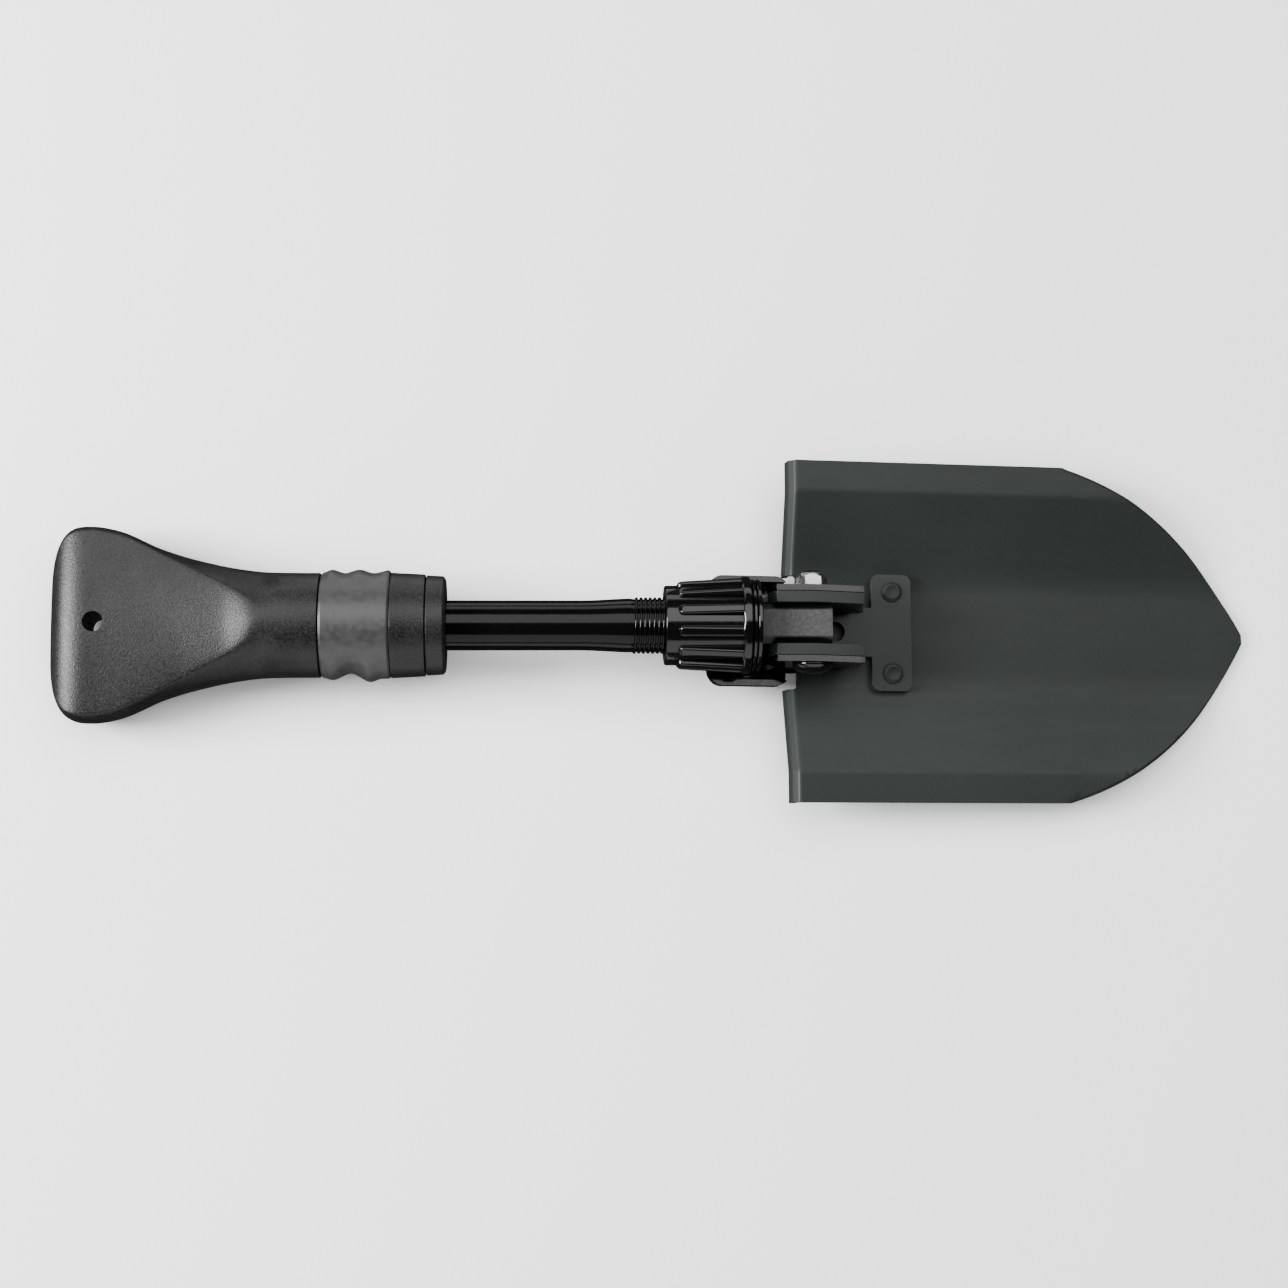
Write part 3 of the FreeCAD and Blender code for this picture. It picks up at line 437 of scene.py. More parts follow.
class Growth:
    """A Geometry Nodes tree in the making: named inputs, nodes and one finished mesh."""

    def __init__(self, name, **inputs):
        self.tree = bpy.data.node_groups.new(name, "GeometryNodeTree")
        self.values = inputs
        kinds = {int: "NodeSocketInt", float: "NodeSocketFloat"}
        self.sockets = {}
        for label, number in inputs.items():
            made = self.tree.interface.new_socket(label, in_out="INPUT", socket_type=kinds[type(number)])
            self.sockets[label] = made.identifier
        self.tree.interface.new_socket("Geometry", in_out="OUTPUT", socket_type="NodeSocketGeometry")
        self.given = self.tree.nodes.new("NodeGroupInput")

    def node(self, kind, settings=None, **sockets):
        made = self.tree.nodes.new(kind)
        for name, setting in (settings or {}).items():
            setattr(made, name, setting)
        for name, given in sockets.items():
            socket = made.inputs[name.replace("_", " ")]
            if isinstance(given, str):
                given = self.given.outputs[given]
            if isinstance(given, bpy.types.NodeSocket):
                self.tree.links.new(given, socket)
            else:
                socket.default_value = given
        return made

    def mesh(self, geometry, material):
        """Realizes the instances, sets the material and gives back a plain mesh."""
        real = self.node("GeometryNodeRealizeInstances", Geometry=geometry)
        painted = self.node("GeometryNodeSetMaterial", Geometry=real.outputs[0])
        painted.inputs["Material"].default_value = material
        out = self.tree.nodes.new("NodeGroupOutput")
        self.tree.links.new(painted.outputs[0], out.inputs[0])
        carrier = bpy.data.objects.new("carrier", bpy.data.meshes.new("carrier"))
        bpy.context.scene.collection.objects.link(carrier)
        modifier = carrier.modifiers.new("growth", "NODES")
        modifier.node_group = self.tree
        for label, number in self.values.items():
            modifier[self.sockets[label]] = number
        evaluated = carrier.evaluated_get(bpy.context.evaluated_depsgraph_get())
        result = bpy.data.meshes.new_from_object(evaluated)
        carrier.modifiers.remove(modifier)
        bpy.data.objects.remove(carrier)
        return result


def joined(*meshes):
    """Several closed meshes in one."""
    work = bmesh.new()
    for mesh in meshes:
        work.from_mesh(mesh)
    result = bpy.data.meshes.new(meshes[0].name)
    work.to_mesh(result)
    work.free()
    return result


def thread_ridge():
    """The helical ridge, a round wire swept along a spiral about the shaft line."""
    turns = (SHAFT_FRONT - 0.8 - THREAD_REAR) / THREAD_PITCH
    grow = Growth("thread", Turns=turns, Pitch=THREAD_PITCH, Radius=THREAD_CREST - THREAD_RIDGE,
                  Ridge=THREAD_RIDGE)
    length = grow.node("ShaderNodeMath", {"operation": "MULTIPLY"})
    grow.tree.links.new(grow.given.outputs["Turns"], length.inputs[0])
    grow.tree.links.new(grow.given.outputs["Pitch"], length.inputs[1])
    spiral = grow.node("GeometryNodeCurveSpiral", Resolution=72, Rotations="Turns", Start_Radius="Radius",
                       End_Radius="Radius", Height=length.outputs[0])
    ridge = grow.node("GeometryNodeCurvePrimitiveCircle", Resolution=14, Radius="Ridge")
    swept = grow.node("GeometryNodeCurveToMesh", Curve=spiral.outputs[0], Profile_Curve=ridge.outputs[0],
                      Fill_Caps=True)
    laid = grow.node("GeometryNodeTransform", Geometry=swept.outputs[0],
                     Translation=(THREAD_REAR, 0.0, 0.0), Rotation=(0.0, math.pi / 2, 0.0))
    return grow.mesh(laid.outputs[0], shaft_enamel)


tube_outline = [(SHAFT_REAR, SHAFT_BORE), (SHAFT_REAR, SHAFT_RADIUS)]
tube_outline += FLARE + [(THREAD_REAR + 0.6, THREAD_ROOT), (SHAFT_FRONT, THREAD_ROOT),
                         (SHAFT_FRONT, SHAFT_BORE)]
shaft_mesh = joined(turned("shaft", filleted(tube_outline, 1.2)), thread_ridge())
piece_from("threaded_shaft", shaft_mesh, "shaft", shaft_enamel,
           ["shaft_tube"], sharp=50.0)


# ---------------------------------------------------------------- lock collar
# The lock collar is a die-cast nut in glossy enamel: a plain barrel behind, twelve finger ribs
# that rise forwards, and a flange whose rear edge is scalloped between the ribs.
COLLAR_REAR, COLLAR_FRONT, BARREL_RADIUS, COLLAR_BORE = -52.1, -22.2, 14.0, 10.6
RIB_REAR, RIB_FRONT, RIB_WIDTH, RIB_COUNT, RIB_TURN = -47.9, -25.0, 3.9, 12, 15.0
RIB_RADIUS_REAR, RIB_RADIUS_FRONT, RIB_ROOT = 15.4, 16.75, 0.3
FLANGE_RADIUS, FLANGE_REAR, FLANGE_EDGE, SCALLOP_DEPTH = 17.2, -25.5, 0.5, 0.35


def finger_rib():
    """One rib along the shaft line, upright on +Z: a long dome with a rounded rear end."""
    half = RIB_WIDTH / 2
    rings = []
    nose = RIB_REAR + half
    stations = [RIB_REAR + half * (1 - math.cos(math.pi / 2 * k / 10)) for k in range(10)]
    stations += list(np.linspace(nose, RIB_FRONT, 14))
    for x in stations:
        reach = max(nose - x, 0.0) / half
        spread = math.sqrt(max(1 - reach ** 2, 0.0004))
        along = (x - RIB_REAR) / (RIB_FRONT - RIB_REAR)
        top = RIB_RADIUS_REAR + (RIB_RADIUS_FRONT - RIB_RADIUS_REAR) * along
        base = BARREL_RADIUS - 1.2
        line = []
        for k in range(25):
            u = -1 + 2 * k / 24
            wall = (1 - abs(u) ** 5) ** 0.42
            rise = (top - BARREL_RADIUS + RIB_ROOT) * wall * spread
            line.append((x, u * half * spread, BARREL_RADIUS - RIB_ROOT + rise))
        line += [(x, half * spread, base), (x, -half * spread, base)]
        rings.append(line)
    return skinned("rib", rings)


def finger_ribs():
    """All the ribs, set round the barrel."""
    one = bpy.data.objects.new("one_rib", finger_rib())
    bpy.context.scene.collection.objects.link(one)
    grow = Growth("ribs", Count=RIB_COUNT, First=math.radians(RIB_TURN))
    source = grow.node("GeometryNodeObjectInfo")
    source.inputs["Object"].default_value = one
    points = grow.node("GeometryNodeMeshLine", Count="Count")
    points.inputs["Offset"].default_value = (0.0, 0.0, 0.0)
    index = grow.node("GeometryNodeInputIndex")
    step = grow.node("ShaderNodeMath", {"operation": "DIVIDE"})
    step.inputs[0].default_value = 2 * math.pi
    grow.tree.links.new(grow.given.outputs["Count"], step.inputs[1])
    turn = grow.node("ShaderNodeMath", {"operation": "MULTIPLY_ADD"})
    grow.tree.links.new(index.outputs[0], turn.inputs[0])
    grow.tree.links.new(step.outputs[0], turn.inputs[1])
    grow.tree.links.new(grow.given.outputs["First"], turn.inputs[2])
    about = grow.node("ShaderNodeCombineXYZ", X=turn.outputs[0])
    ring = grow.node("GeometryNodeInstanceOnPoints", Points=points.outputs[0],
                     Instance=source.outputs["Geometry"])
    grow.tree.links.new(about.outputs[0], ring.inputs["Rotation"])
    result = grow.mesh(ring.outputs[0], enamel)
    bpy.data.objects.remove(one)
    return result


def collar_flange():
    """The flange, its rear edge cut forward between the ribs."""
    sides = 360
    rings = []
    front = [(COLLAR_FRONT, COLLAR_BORE), (COLLAR_FRONT, FLANGE_RADIUS - FLANGE_EDGE),
             (COLLAR_FRONT - FLANGE_EDGE, FLANGE_RADIUS)]
    rear = [(FLANGE_REAR + 0.6, FLANGE_RADIUS), (FLANGE_REAR, FLANGE_RADIUS - FLANGE_EDGE),
            (FLANGE_REAR, BARREL_RADIUS - 0.5)]
    for x, radius in front + rear + [(FLANGE_REAR, COLLAR_BORE)]:
        line = []
        for k in range(sides):
            turn = 2 * math.pi * k / sides
            phase = (math.degrees(turn) + RIB_TURN + 90.0) % (360 / RIB_COUNT) / (360 / RIB_COUNT)
            beside_rib = math.cos(2 * math.pi * phase) * 0.5 + 0.5
            forward = SCALLOP_DEPTH * (1 - beside_rib) if (x, radius) in rear else 0.0
            line.append((x + forward, radius * math.cos(turn), radius * math.sin(turn)))
        rings.append(line)
    rings.append(rings[0])
    return skinned("flange", rings, closed_ends=False)


barrel_outline = [(COLLAR_REAR, COLLAR_BORE), (COLLAR_REAR, BARREL_RADIUS, 0.7),
                  (COLLAR_FRONT - 1, BARREL_RADIUS), (COLLAR_FRONT - 1, COLLAR_BORE)]
collar_mesh = joined(turned("collar", filleted(barrel_outline, 0.3)), finger_ribs(), collar_flange())
piece_from("fluted_collar", collar_mesh, "collar", enamel, ["lock_collar"], sharp=48.0)


# ---------------------------------------------------------------- pushed rings
# Two pressed steel rings stand between the collar and the ears.  They are enamelled like the
# collar, which pushes them forwards to lock the blade.
RING_RADIUS, RING_BORE = 16.15, 10.02
for name, node, rear, front in (("thrust_ring", "thrust_washer", -21.8, -20.5),
                                ("ear_ring", "pressure_ring", -20.2, -18.7)):
    outline = [(rear, RING_BORE), (rear, RING_RADIUS), (front, RING_RADIUS), (front, RING_BORE)]
    piece_from(name, turned(name, filleted(outline, 0.5, steps=5)), "collar_carrier", enamel,
               [node])


# ---------------------------------------------------------------- blade
# The blade is pressed from 2 mm steel sheet: a flat keel, two wings that rise at fifteen degrees
# and a rim bent back level.  Its rear edge is turned down into foot steps on both sides of the
# hinge notch, and its curved edge is ground to a bevel.  It is powder-coated grey-green.
LIFT, BLADE_HEIGHT, SHEET = 7.5, -18.8, 2.0
BLADE_HALF, BLADE_REAR, SHOULDER, TIP = 61.5, -7.2, 96.0, 168.0
BULGE = (130.0, 45.2)
KEEL_HALF, KEEL_BEND, WING_ANGLE, WING_HALF, RIM_BEND = 14.0, 45.0, 15.0, 49.5, 8.0
STEP_RADIUS, STEP_SLOPE, STEP_RUN, STEP_DEPTH = 2.2, 52.0, 2.0, 7.6
NOTCH_HALF, NOTCH_FRONT = 20.6, -3.4
BLADE = Matrix.Translation((0, 0, BLADE_HEIGHT)) @ Matrix.Rotation(math.radians(LIFT), 4, "Y")


def powder_skin(place):
    cloud = place.noise(14.0, 2.0)
    fleck = place.noise(1100.0, 2.0)
    scuff = place.node("ShaderNodeTexNoise", {}, {"Vector": place.node("ShaderNodeMapping", {}, {
        "Vector": place, "Scale": (60.0, 420.0, 60.0)}), "Scale": 1.0, "Detail": 4.0, "Roughness": 0.6})
    shade = (cloud * 0.6 + fleck * 0.4).ramp(0.3, 0.7)
    return {"Base Color": shade.tint((0.0168, 0.0202, 0.019), (0.0208, 0.0248, 0.0234)),
            "Roughness": (scuff * 0.6 + fleck * 0.4).ramp(0.3, 0.75, 0.36, 0.48),
            "Normal": (fleck * 0.8 + scuff * 0.2).bump(0.1, 0.00012)}


powder = finish_material("powder_coat", powder_skin, Specular_IOR_Level=0.18)


def sheet_height(y):
    """The blade's front surface above its keel, across the width."""
    angle = math.radians(WING_ANGLE)
    y = abs(y)
    bend_end = KEEL_HALF + KEEL_BEND * math.sin(angle)
    bend_rise = KEEL_BEND * (1 - math.cos(angle))
    if y <= KEEL_HALF:
        return 0.0
    if y <= bend_end:
        return KEEL_BEND - math.sqrt(KEEL_BEND ** 2 - (y - KEEL_HALF) ** 2)
    if y <= WING_HALF:
        return bend_rise + (y - bend_end) * math.tan(angle)
    rim_rise = bend_rise + (WING_HALF - bend_end) * math.tan(angle)
    rim_end = WING_HALF + RIM_BEND * math.sin(angle)
    if y <= rim_end:
        left = rim_end - y
        return rim_rise + RIM_BEND * (1 - math.cos(angle)) - (RIM_BEND - math.sqrt(RIM_BEND ** 2 - left ** 2))
    return rim_rise + RIM_BEND * (1 - math.cos(angle))


def arc_through(start, middle, end):
    """Centre and radius of the circle through three points."""
    (ax, ay), (bx, by), (cx, cy) = start, middle, end
    d = 2 * (ax * (by - cy) + bx * (cy - ay) + cx * (ay - by))
    a, b, c = ax * ax + ay * ay, bx * bx + by * by, cx * cx + cy * cy
    ux = (a * (by - cy) + b * (cy - ay) + c * (ay - by)) / d
    uy = (a * (cx - bx) + b * (ax - cx) + c * (bx - ax)) / d
    return ux, uy, math.hypot(ax - ux, ay - uy)


OGIVE = arc_through((SHOULDER, BLADE_HALF), BULGE, (TIP, 0.0))


def half_width(x):
    if x <= SHOULDER:
        return BLADE_HALF
    centre_x, centre_y, radius = OGIVE
    return max(centre_y + math.sqrt(max(radius ** 2 - (x - centre_x) ** 2, 0.0)), 0.0)


def blade_mesh():
    """Front and back skins of the sheet on one grid, closed round the edge."""
    bevel_width, bevel_depth, tip_radius = 1.3, 1.0, 0.8
    # Lines across the width, closest together over the keel's bend and the rim's.
    wide = np.concatenate([np.linspace(0, 12, 5), np.linspace(14, 27, 16), np.linspace(30, 47, 7),
                           np.linspace(49, 52.5, 9), np.linspace(54, BLADE_HALF, 5)]) / BLADE_HALF
    wide = np.concatenate([-wide[::-1], wide[1:]])
    stations = list(np.linspace(0, SHOULDER, 56)[:-1])
    point = TIP - tip_radius - SHOULDER
    stations += [SHOULDER + point * math.sin(math.pi / 2 * k / 60) for k in range(61)]
    slope = math.radians(STEP_SLOPE)
    reach = BLADE_REAR + STEP_RADIUS + STEP_RUN * math.cos(slope)
    rows = [(BLADE_REAR, STEP_DEPTH, math.pi / 2)]
    for bend in np.linspace(math.pi / 2, slope, 6):
        rows.append((reach - STEP_RADIUS * math.sin(bend) - STEP_RUN * math.cos(slope),
                     STEP_RADIUS * (1 - math.cos(bend)) + STEP_RUN * math.sin(slope), bend))
    for bend in np.linspace(slope, 0.0, 7):
        rows.append((reach - STEP_RADIUS * math.sin(bend), STEP_RADIUS * (1 - math.cos(bend)), bend))
    rows += [(x, 0.0, 0.0) for x in stations if x > reach + 1.5]
    front, back = [], []
    for x, fall, bend in rows:
        edge = half_width(x)
        sharp = smooth(x, SHOULDER - 1.0, SHOULDER + 2.0)
        ys = [edge * u for u in wide]
        inner = max(edge - bevel_width, 0.2)
        ys[1], ys[-2] = -inner, inner
        upper, lower = [], []
        for k, y in enumerate(ys):
            z = sheet_height(y) - fall
            ground = sharp * bevel_depth if k in (0, len(ys) - 1) else 0.0
            upper.append((x, y, z - ground))
            lower.append((x + SHEET * math.sin(bend), y, z - SHEET * math.cos(bend)))
        front.append(upper)
        back.append(lower)
    across, count = len(wide), len(rows)
    verts = [v for line in front for v in line] + [v for line in back for v in line]
    low = across * count
    faces = []
    for r in range(count - 1):
        for c in range(across - 1):
            a = r * across + c
            faces.append((a, a + 1, a + across + 1, a + across))
            faces.append((low + a, low + a + across, low + a + across + 1, low + a + 1))
        for c in (0, across - 1):
            a = r * across + c
            faces.append((a, a + across, low + a + across, low + a))
    for r in (0, count - 1):
        for c in range(across - 1):
            a = r * across + c
            faces.append((a, a + 1, low + a + 1, low + a))
    return mesh_from("blade", verts, faces)


def hinge_notch(corner=1.6, reach=30.0):
    """The block that the notch is cut with, upright, rounded in plan and centred on the keel."""
    open_end = BLADE_REAR - 9
    plan = filleted([(open_end, -NOTCH_HALF), (NOTCH_FRONT, -NOTCH_HALF), (NOTCH_FRONT, NOTCH_HALF),
                     (open_end, NOTCH_HALF)], corner, 6)
    return skinned("notch", [[(x, y, z) for x, y in plan] for z in (-reach, reach)])


blade = carved(blade_mesh(), hinge_notch())
broken_edge = ("BEVEL", {"width": 0.3, "segments": 2, "limit_method": "ANGLE",
                         "angle_limit": math.radians(50)})
blade = applied(blade, broken_edge)
blade.transform(BLADE)
piece_from("blade_sheet", blade, "blade_assembly", powder, ["blade"])


# ---------------------------------------------------------------- fittings that keep their shape
# The bracket and the brace are pressed from steel plate, and the tongue is a flattened bar, bare steel on
# top and painted black below it as shade beside the ears.  They keep the shapes they have: their edges
# are broken, and the tongue's long edges are planed off as well.
def broken(node, name, body, material, width, tools=()):
    """The node's own shape, trimmed by tools, with its edges rounded."""
    mesh = frame["nodes"][node].data.copy()
    mesh.transform(TOOL.inverted())
    mesh = carved(mesh, *tools)
    work = bmesh.new()
    work.from_mesh(mesh)
    bmesh.ops.remove_doubles(work, verts=work.verts, dist=0.004)
    bmesh.ops.dissolve_limit(work, angle_limit=math.radians(2.0), verts=work.verts, edges=work.edges)
    work.to_mesh(mesh)
    work.free()
    mesh = applied(mesh, ("BEVEL", {"width": width, "segments": 3, "limit_method": "ANGLE",
                                    "angle_limit": math.radians(28)}))
    return piece_from(name, mesh, body, material, [node])


def phosphate_skin(place):
    pits = place.noise(900.0, 3.0)
    cloud = place.noise(120.0, 2.0)
    shade = (pits * 0.5 + cloud * 0.5).ramp(0.3, 0.7)
    return {"Base Color": shade.tint((0.06, 0.062, 0.061), (0.1, 0.102, 0.101)),
            "Roughness": pits.ramp(0.3, 0.7, 0.45, 0.65),
            "Normal": pits.bump(0.25, 0.0002)}


def tongue_skin(place):
    up = shaft_line.cross(pin_line)
    height = place.node("ShaderNodeVectorMath", {"operation": "DOT_PRODUCT"}, {
        0: place, 1: up}, out=1) - up.dot(crossing)
    # Bare steel on the top face; the black below it is painted shade for the dark gap beside the ears.
    bare_top_over_painted_shade = (height + place.noise(700.0, 3.0) * 0.0003).ramp(0.0077, 0.0081)
    brushed = place.noise(900.0, 5.0, 0.7)
    bare = brushed.ramp(0.3, 0.7).tint((0.03, 0.031, 0.0305), (0.06, 0.062, 0.061))
    return {"Base Color": place.node("ShaderNodeMix", {"data_type": "RGBA"}, {
                "Factor": bare_top_over_painted_shade, 6: (0.003, 0.003, 0.003, 1.0), 7: bare}, out=2),
            "Roughness": bare_top_over_painted_shade.ramp(0.0, 1.0, 0.35, 0.55),
            "Normal": brushed.bump(0.2, 0.0002)}


phosphate = finish_material("phosphated_steel", phosphate_skin, Metallic=0.55)
tongue_steel = finish_material("tongue_with_painted_shade", tongue_skin, Specular_IOR_Level=0.3)


def satin_skin(place):
    skin = powder_skin(place)
    skin["Roughness"] = place.noise(1300.0, 2.0).ramp(0.3, 0.7, 0.25, 0.3)
    return skin


satin = finish_material("satin_coat", satin_skin, Specular_IOR_Level=0.2)
broken("hinge_bracket", "ear_bracket", "blade_assembly", satin, 0.7)
broken("rear_brace", "cheek_brace", "blade_assembly", enamel, 0.4)
TONGUE_FLAT, TONGUE_TOP, TONGUE_HALF, FLANK_LOW = 4.7, 8.0, 7.0, 5.3
WEDGE_SIDE, WEDGE_TOP, WEDGE_REAR, WEDGE_FRONT = 9.0, 9.5, -18.4, 8.0
flanks = []
for y_sign in (1, -1):
    for z_sign in (1, -1):
        wedge = [(TONGUE_FLAT, TONGUE_TOP + 0.02), (TONGUE_HALF + 0.02, FLANK_LOW), (WEDGE_SIDE, FLANK_LOW),
                 (WEDGE_SIDE, WEDGE_TOP), (TONGUE_FLAT, WEDGE_TOP)]
        flanks.append(skinned("flank", [[(x, y * y_sign, z * z_sign) for y, z in wedge]
                                        for x in (WEDGE_REAR, WEDGE_FRONT)]))
broken("hinge_tongue", "steel_tongue", "shaft", tongue_steel, 0.3, tools=flanks)


# ---------------------------------------------------------------- rivets
# Two steel rivets hold bracket, blade and brace together.  Their heads are pressed low, and they
# are coated with the blade.
RIVET_X, RIVET_Y, RIVET_HEAD, RIVET_SHANK, PLATE, BRACE = 31.3, 14.8, 3.7, 2.4, 3.4, 2.1


def rivets():
    """Both rivets on the blade, each a turned blank set at its point."""
    top, bottom = PLATE, -SHEET - BRACE
    outline = [(bottom - 1.0, 0.0), (bottom - 1.0, RIVET_HEAD, 0.4), (bottom, RIVET_HEAD),
               (bottom, RIVET_SHANK), (top, RIVET_SHANK), (top, RIVET_HEAD), (top + 0.7, RIVET_HEAD, 0.3),
               (top + 1.25, 2.7, 0.5), (top + 1.0, 1.2, 0.6), (top + 0.95, 0.0)]
    blank = turned("rivet", filleted(outline, 0.25, closed=False), 64, closed=False)
    blank.transform(Matrix.Rotation(-math.pi / 2, 4, "Y"))
    one = bpy.data.objects.new("one_rivet", blank)
    bpy.context.scene.collection.objects.link(one)
    grow = Growth("rivets", Count=2, Spacing=2 * RIVET_Y)
    source = grow.node("GeometryNodeObjectInfo")
    source.inputs["Object"].default_value = one
    step = grow.node("ShaderNodeCombineXYZ", Y="Spacing")
    line = grow.node("GeometryNodeMeshLine", Count="Count")
    line.inputs["Start Location"].default_value = (RIVET_X, -RIVET_Y, 0.0)
    grow.tree.links.new(step.outputs[0], line.inputs["Offset"])
    placed = grow.node("GeometryNodeInstanceOnPoints", Points=line.outputs[0],
                       Instance=source.outputs["Geometry"])
    result = grow.mesh(placed.outputs[0], powder)
    bpy.data.objects.remove(one)
    result.transform(BLADE)
    return result


piece_from("pressed_rivets", rivets(), "blade_assembly", powder, ["blade_rivets"])


# ---------------------------------------------------------------- hinge bolt and nut
# A black carriage-type bolt goes through cheeks, ears and tongue, and a zinc-plated self-locking
# nut holds it on the far side.
PIN_HEIGHT = (on_pin - crossing).length / MM
CHEEK_FACE, BOLT_RADIUS, BOLT_HEAD, BOLT_HEAD_HEIGHT, BOLT_END = 13.5, 3.0, 7.1, 3.7, 19.2
NUT_FLATS, NUT_HEIGHT, NUT_HEX, NUT_BORE = 9.7, 5.0, 3.5, 0.525


def zinc_skin(place):
    cloud = place.noise(300.0, 3.0)
    return {"Base Color": cloud.ramp(0.3, 0.7).tint((0.42, 0.43, 0.43), (0.6, 0.6, 0.61)),
            "Roughness": cloud.ramp(0.3, 0.7, 0.22, 0.34),
            "Normal": cloud.bump(0.1, 0.0001)}


zinc = finish_material("bright_zinc", zinc_skin, Metallic=1.0)


def about_pin(mesh):
    """Turns a piece drawn along X onto the hinge pin."""
    mesh.transform(Matrix.Translation((0, 0, PIN_HEIGHT)) @ Matrix.Rotation(math.pi / 2, 4, "Z"))
    return mesh


head_start = -CHEEK_FACE - BOLT_HEAD_HEIGHT
bolt_outline = [(head_start, 0.0), (head_start + 0.1, BOLT_HEAD * 0.4, 1.5),
                (head_start + 1.3, BOLT_HEAD * 0.8, 2.0), (-CHEEK_FACE - 0.9, BOLT_HEAD, 0.6),
                (-CHEEK_FACE, BOLT_HEAD, 0.3), (-CHEEK_FACE, BOLT_RADIUS), (BOLT_END - 0.6, BOLT_RADIUS, 0.2),
                (BOLT_END, BOLT_RADIUS - 0.6, 0.2), (BOLT_END, 0.0)]
bolt = about_pin(turned("bolt", filleted(bolt_outline, 0.3, 6, closed=False), 96, closed=False))
piece_from("domed_bolt", bolt, "blade_assembly", enamel, ["pivot_bolt"])


def locking_nut():
    """Hexagon with chamfered corners and the rolled collar that holds its nylon ring."""
    sides = 96
    corner = NUT_FLATS / math.sqrt(3)
    rings = []
    # Each station is its place, its radius as a share of the corner's, and whether it has flats.
    stations = [(0.0, 0.93, True), (0.45, 1.0, True), (NUT_HEX - 0.4, 1.0, True), (NUT_HEX, 0.93, True),
                (NUT_HEX + 0.05, 0.86, False), (NUT_HEIGHT - 0.9, 0.85, False),
                (NUT_HEIGHT - 0.3, 0.8, False), (NUT_HEIGHT, 0.7, False), (NUT_HEIGHT, 0.56, False),
                (NUT_HEIGHT - 0.6, NUT_BORE, False), (0.0, NUT_BORE, False)]
    for y, scale, hexagonal in stations:
        line = []
        for k in range(sides):
            turn = 2 * math.pi * k / sides
            flat = math.cos(math.pi / 6) / math.cos((turn % (math.pi / 3)) - math.pi / 6)
            radius = corner * min(flat, scale) if hexagonal else corner * scale
            line.append((CHEEK_FACE + y, radius * math.cos(turn), radius * math.sin(turn)))
        rings.append(line)
    rings.append(rings[0])
    return about_pin(skinned("nut", rings, closed_ends=False))


piece_from("locking_nut", locking_nut(), "blade_assembly", zinc, ["pivot_nut"], sharp=30.0)


# ---------------------------------------------------------------- hidden and inner pieces
# Bushes, pins and the clamp inside the neck keep the shapes they have, and get their finishes.
def steel_skin(place):
    turned_lines = place.node("ShaderNodeTexNoise", {}, {"Vector": place.node("ShaderNodeMapping", {}, {
        "Vector": place, "Scale": (2500.0, 90.0, 90.0)}), "Scale": 1.0, "Detail": 3.0})
    return {"Base Color": turned_lines.ramp(0.3, 0.7).tint((0.4, 0.4, 0.41), (0.56, 0.56, 0.57)),
            "Roughness": turned_lines.ramp(0.3, 0.7, 0.25, 0.4)}


def bronze_skin(place):
    pores = place.noise(1600.0, 3.0)
    return {"Base Color": pores.ramp(0.3, 0.7).tint((0.3, 0.19, 0.09), (0.48, 0.32, 0.17)),
            "Roughness": pores.ramp(0.3, 0.7, 0.35, 0.5)}


steel = finish_material("turned_steel", steel_skin, Metallic=1.0)
bronze = finish_material("sintered_bronze", bronze_skin, Metallic=1.0)
for material, names in ((steel, ["tongue_pin", "stop_pin", "collar_insert", "grip_screws"]),
                        (phosphate, ["shaft_stop"]), (bronze, ["pivot_bush"]),
                        (grip_nylon, ["neck_tube", "guide_bush", "lock_collet"])):
    for name in names:
        mesh = frame["nodes"][name].data
        mesh.materials.clear()
        mesh.materials.append(material)


# ---------------------------------------------------------------- floor, light and camera
# A plain pale floor with a painted shadow that darkens it close to the tool, one soft light above it, one on
# each side, one beyond the grip, two dim cards low beside the shaft, and a camera almost square above the
# shaft.
CAMERA_PLACE, CAMERA_TILT, CAMERA_LEAN, LENS = (-99.9, -104.5, 798.0), 7.0, 2.9, 64.3


def floor_skin(place):
    paper = place.noise(3.0, 1.0).ramp(0.3, 0.7).tint((0.86, 0.86, 0.86), (0.88, 0.88, 0.88))
    open_sky = place.node("ShaderNodeAmbientOcclusion", {"samples": 8}, {"Distance": 0.035}, out=1)
    # The floor's even glow is dimmed where the tool closes it in: a painted contact shadow.
    glow_with_painted_shadow = open_sky.ramp(0.3, 0.95).tint((0.03, 0.03, 0.03), (1, 1, 1))
    return {"Base Color": paper, "Emission Color": glow_with_painted_shadow}


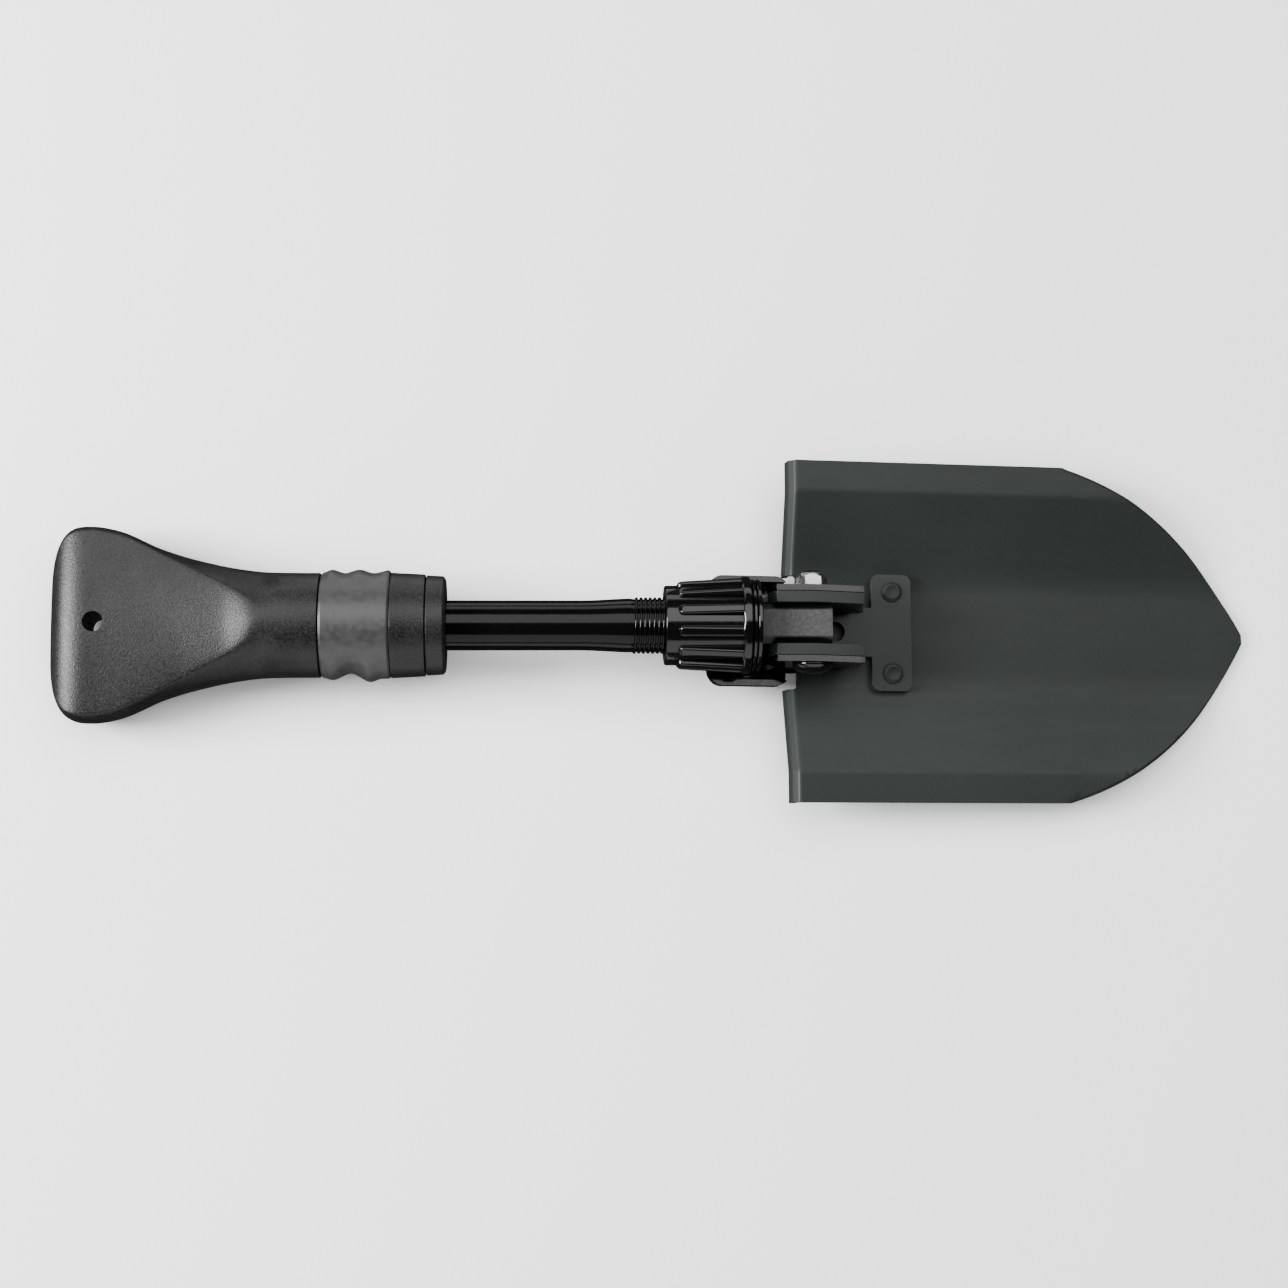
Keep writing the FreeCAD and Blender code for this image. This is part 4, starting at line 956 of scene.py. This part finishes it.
bpy.ops.mesh.primitive_plane_add(size=6.0, location=(0, 0, -0.0002))
floor = bpy.context.object
floor.name = "pale_floor"
floor.data.materials.append(finish_material("floor_paper", floor_skin, Roughness=0.9,
                                            Specular_IOR_Level=0.1, Emission_Strength=0.85))
floor.visible_glossy = False

world = bpy.data.worlds.new("studio")
world.use_nodes = True
world.node_tree.nodes["Background"].inputs["Color"].default_value = (1, 1, 1, 1)
world.node_tree.nodes["Background"].inputs["Strength"].default_value = 0.04
bpy.context.scene.world = world


def soft_light(name, place, aim, width, depth, power):
    data = bpy.data.lights.new(name, "AREA")
    data.shape = "RECTANGLE"
    data.size, data.size_y, data.energy = width, depth, power
    light = bpy.data.objects.new(name, data)
    light.location = Vector(place)
    light.visible_camera = False
    light.rotation_euler = (Vector(aim) - Vector(place)).to_track_quat("-Z", "Y").to_euler()
    bpy.context.scene.collection.objects.link(light)


soft_light("overhead", (0.0, 0.49, 1.1), (0, 0, 0), 2.0, 0.85, 18.5)
soft_light("near_side", (0.0, -1.1, 0.41), (0, 0, 0), 2.0, 0.84, 9.0)
soft_light("far_side", (0.0, 1.2, 0.2), (0, 0, 0), 2.0, 0.36, 5.0)
soft_light("grip_end", (-1.1, 0.08, 0.63), (-0.2, 0, 0), 0.45, 0.5, 38.0)
soft_light("near_card", (-0.07, -0.14, 0.001), (-0.07, -0.14, 1.0), 0.15, 0.15, 0.1)
soft_light("far_card", (-0.07, 0.14, 0.001), (-0.07, 0.14, 1.0), 0.15, 0.15, 0.1)

camera_data = bpy.data.cameras.new("camera")
camera_data.sensor_width = 36.0
camera_data.lens = LENS
camera = bpy.data.objects.new("camera", camera_data)
square = TOOL.to_3x3().normalized().to_4x4()
tilt = Matrix.Rotation(math.radians(CAMERA_TILT), 4, "X")
lean = Matrix.Rotation(math.radians(-CAMERA_LEAN), 4, "Y")
camera.matrix_world = Matrix.Translation(TOOL @ Vector(CAMERA_PLACE)) @ square @ tilt @ lean
bpy.context.scene.collection.objects.link(camera)
bpy.context.scene.camera = camera
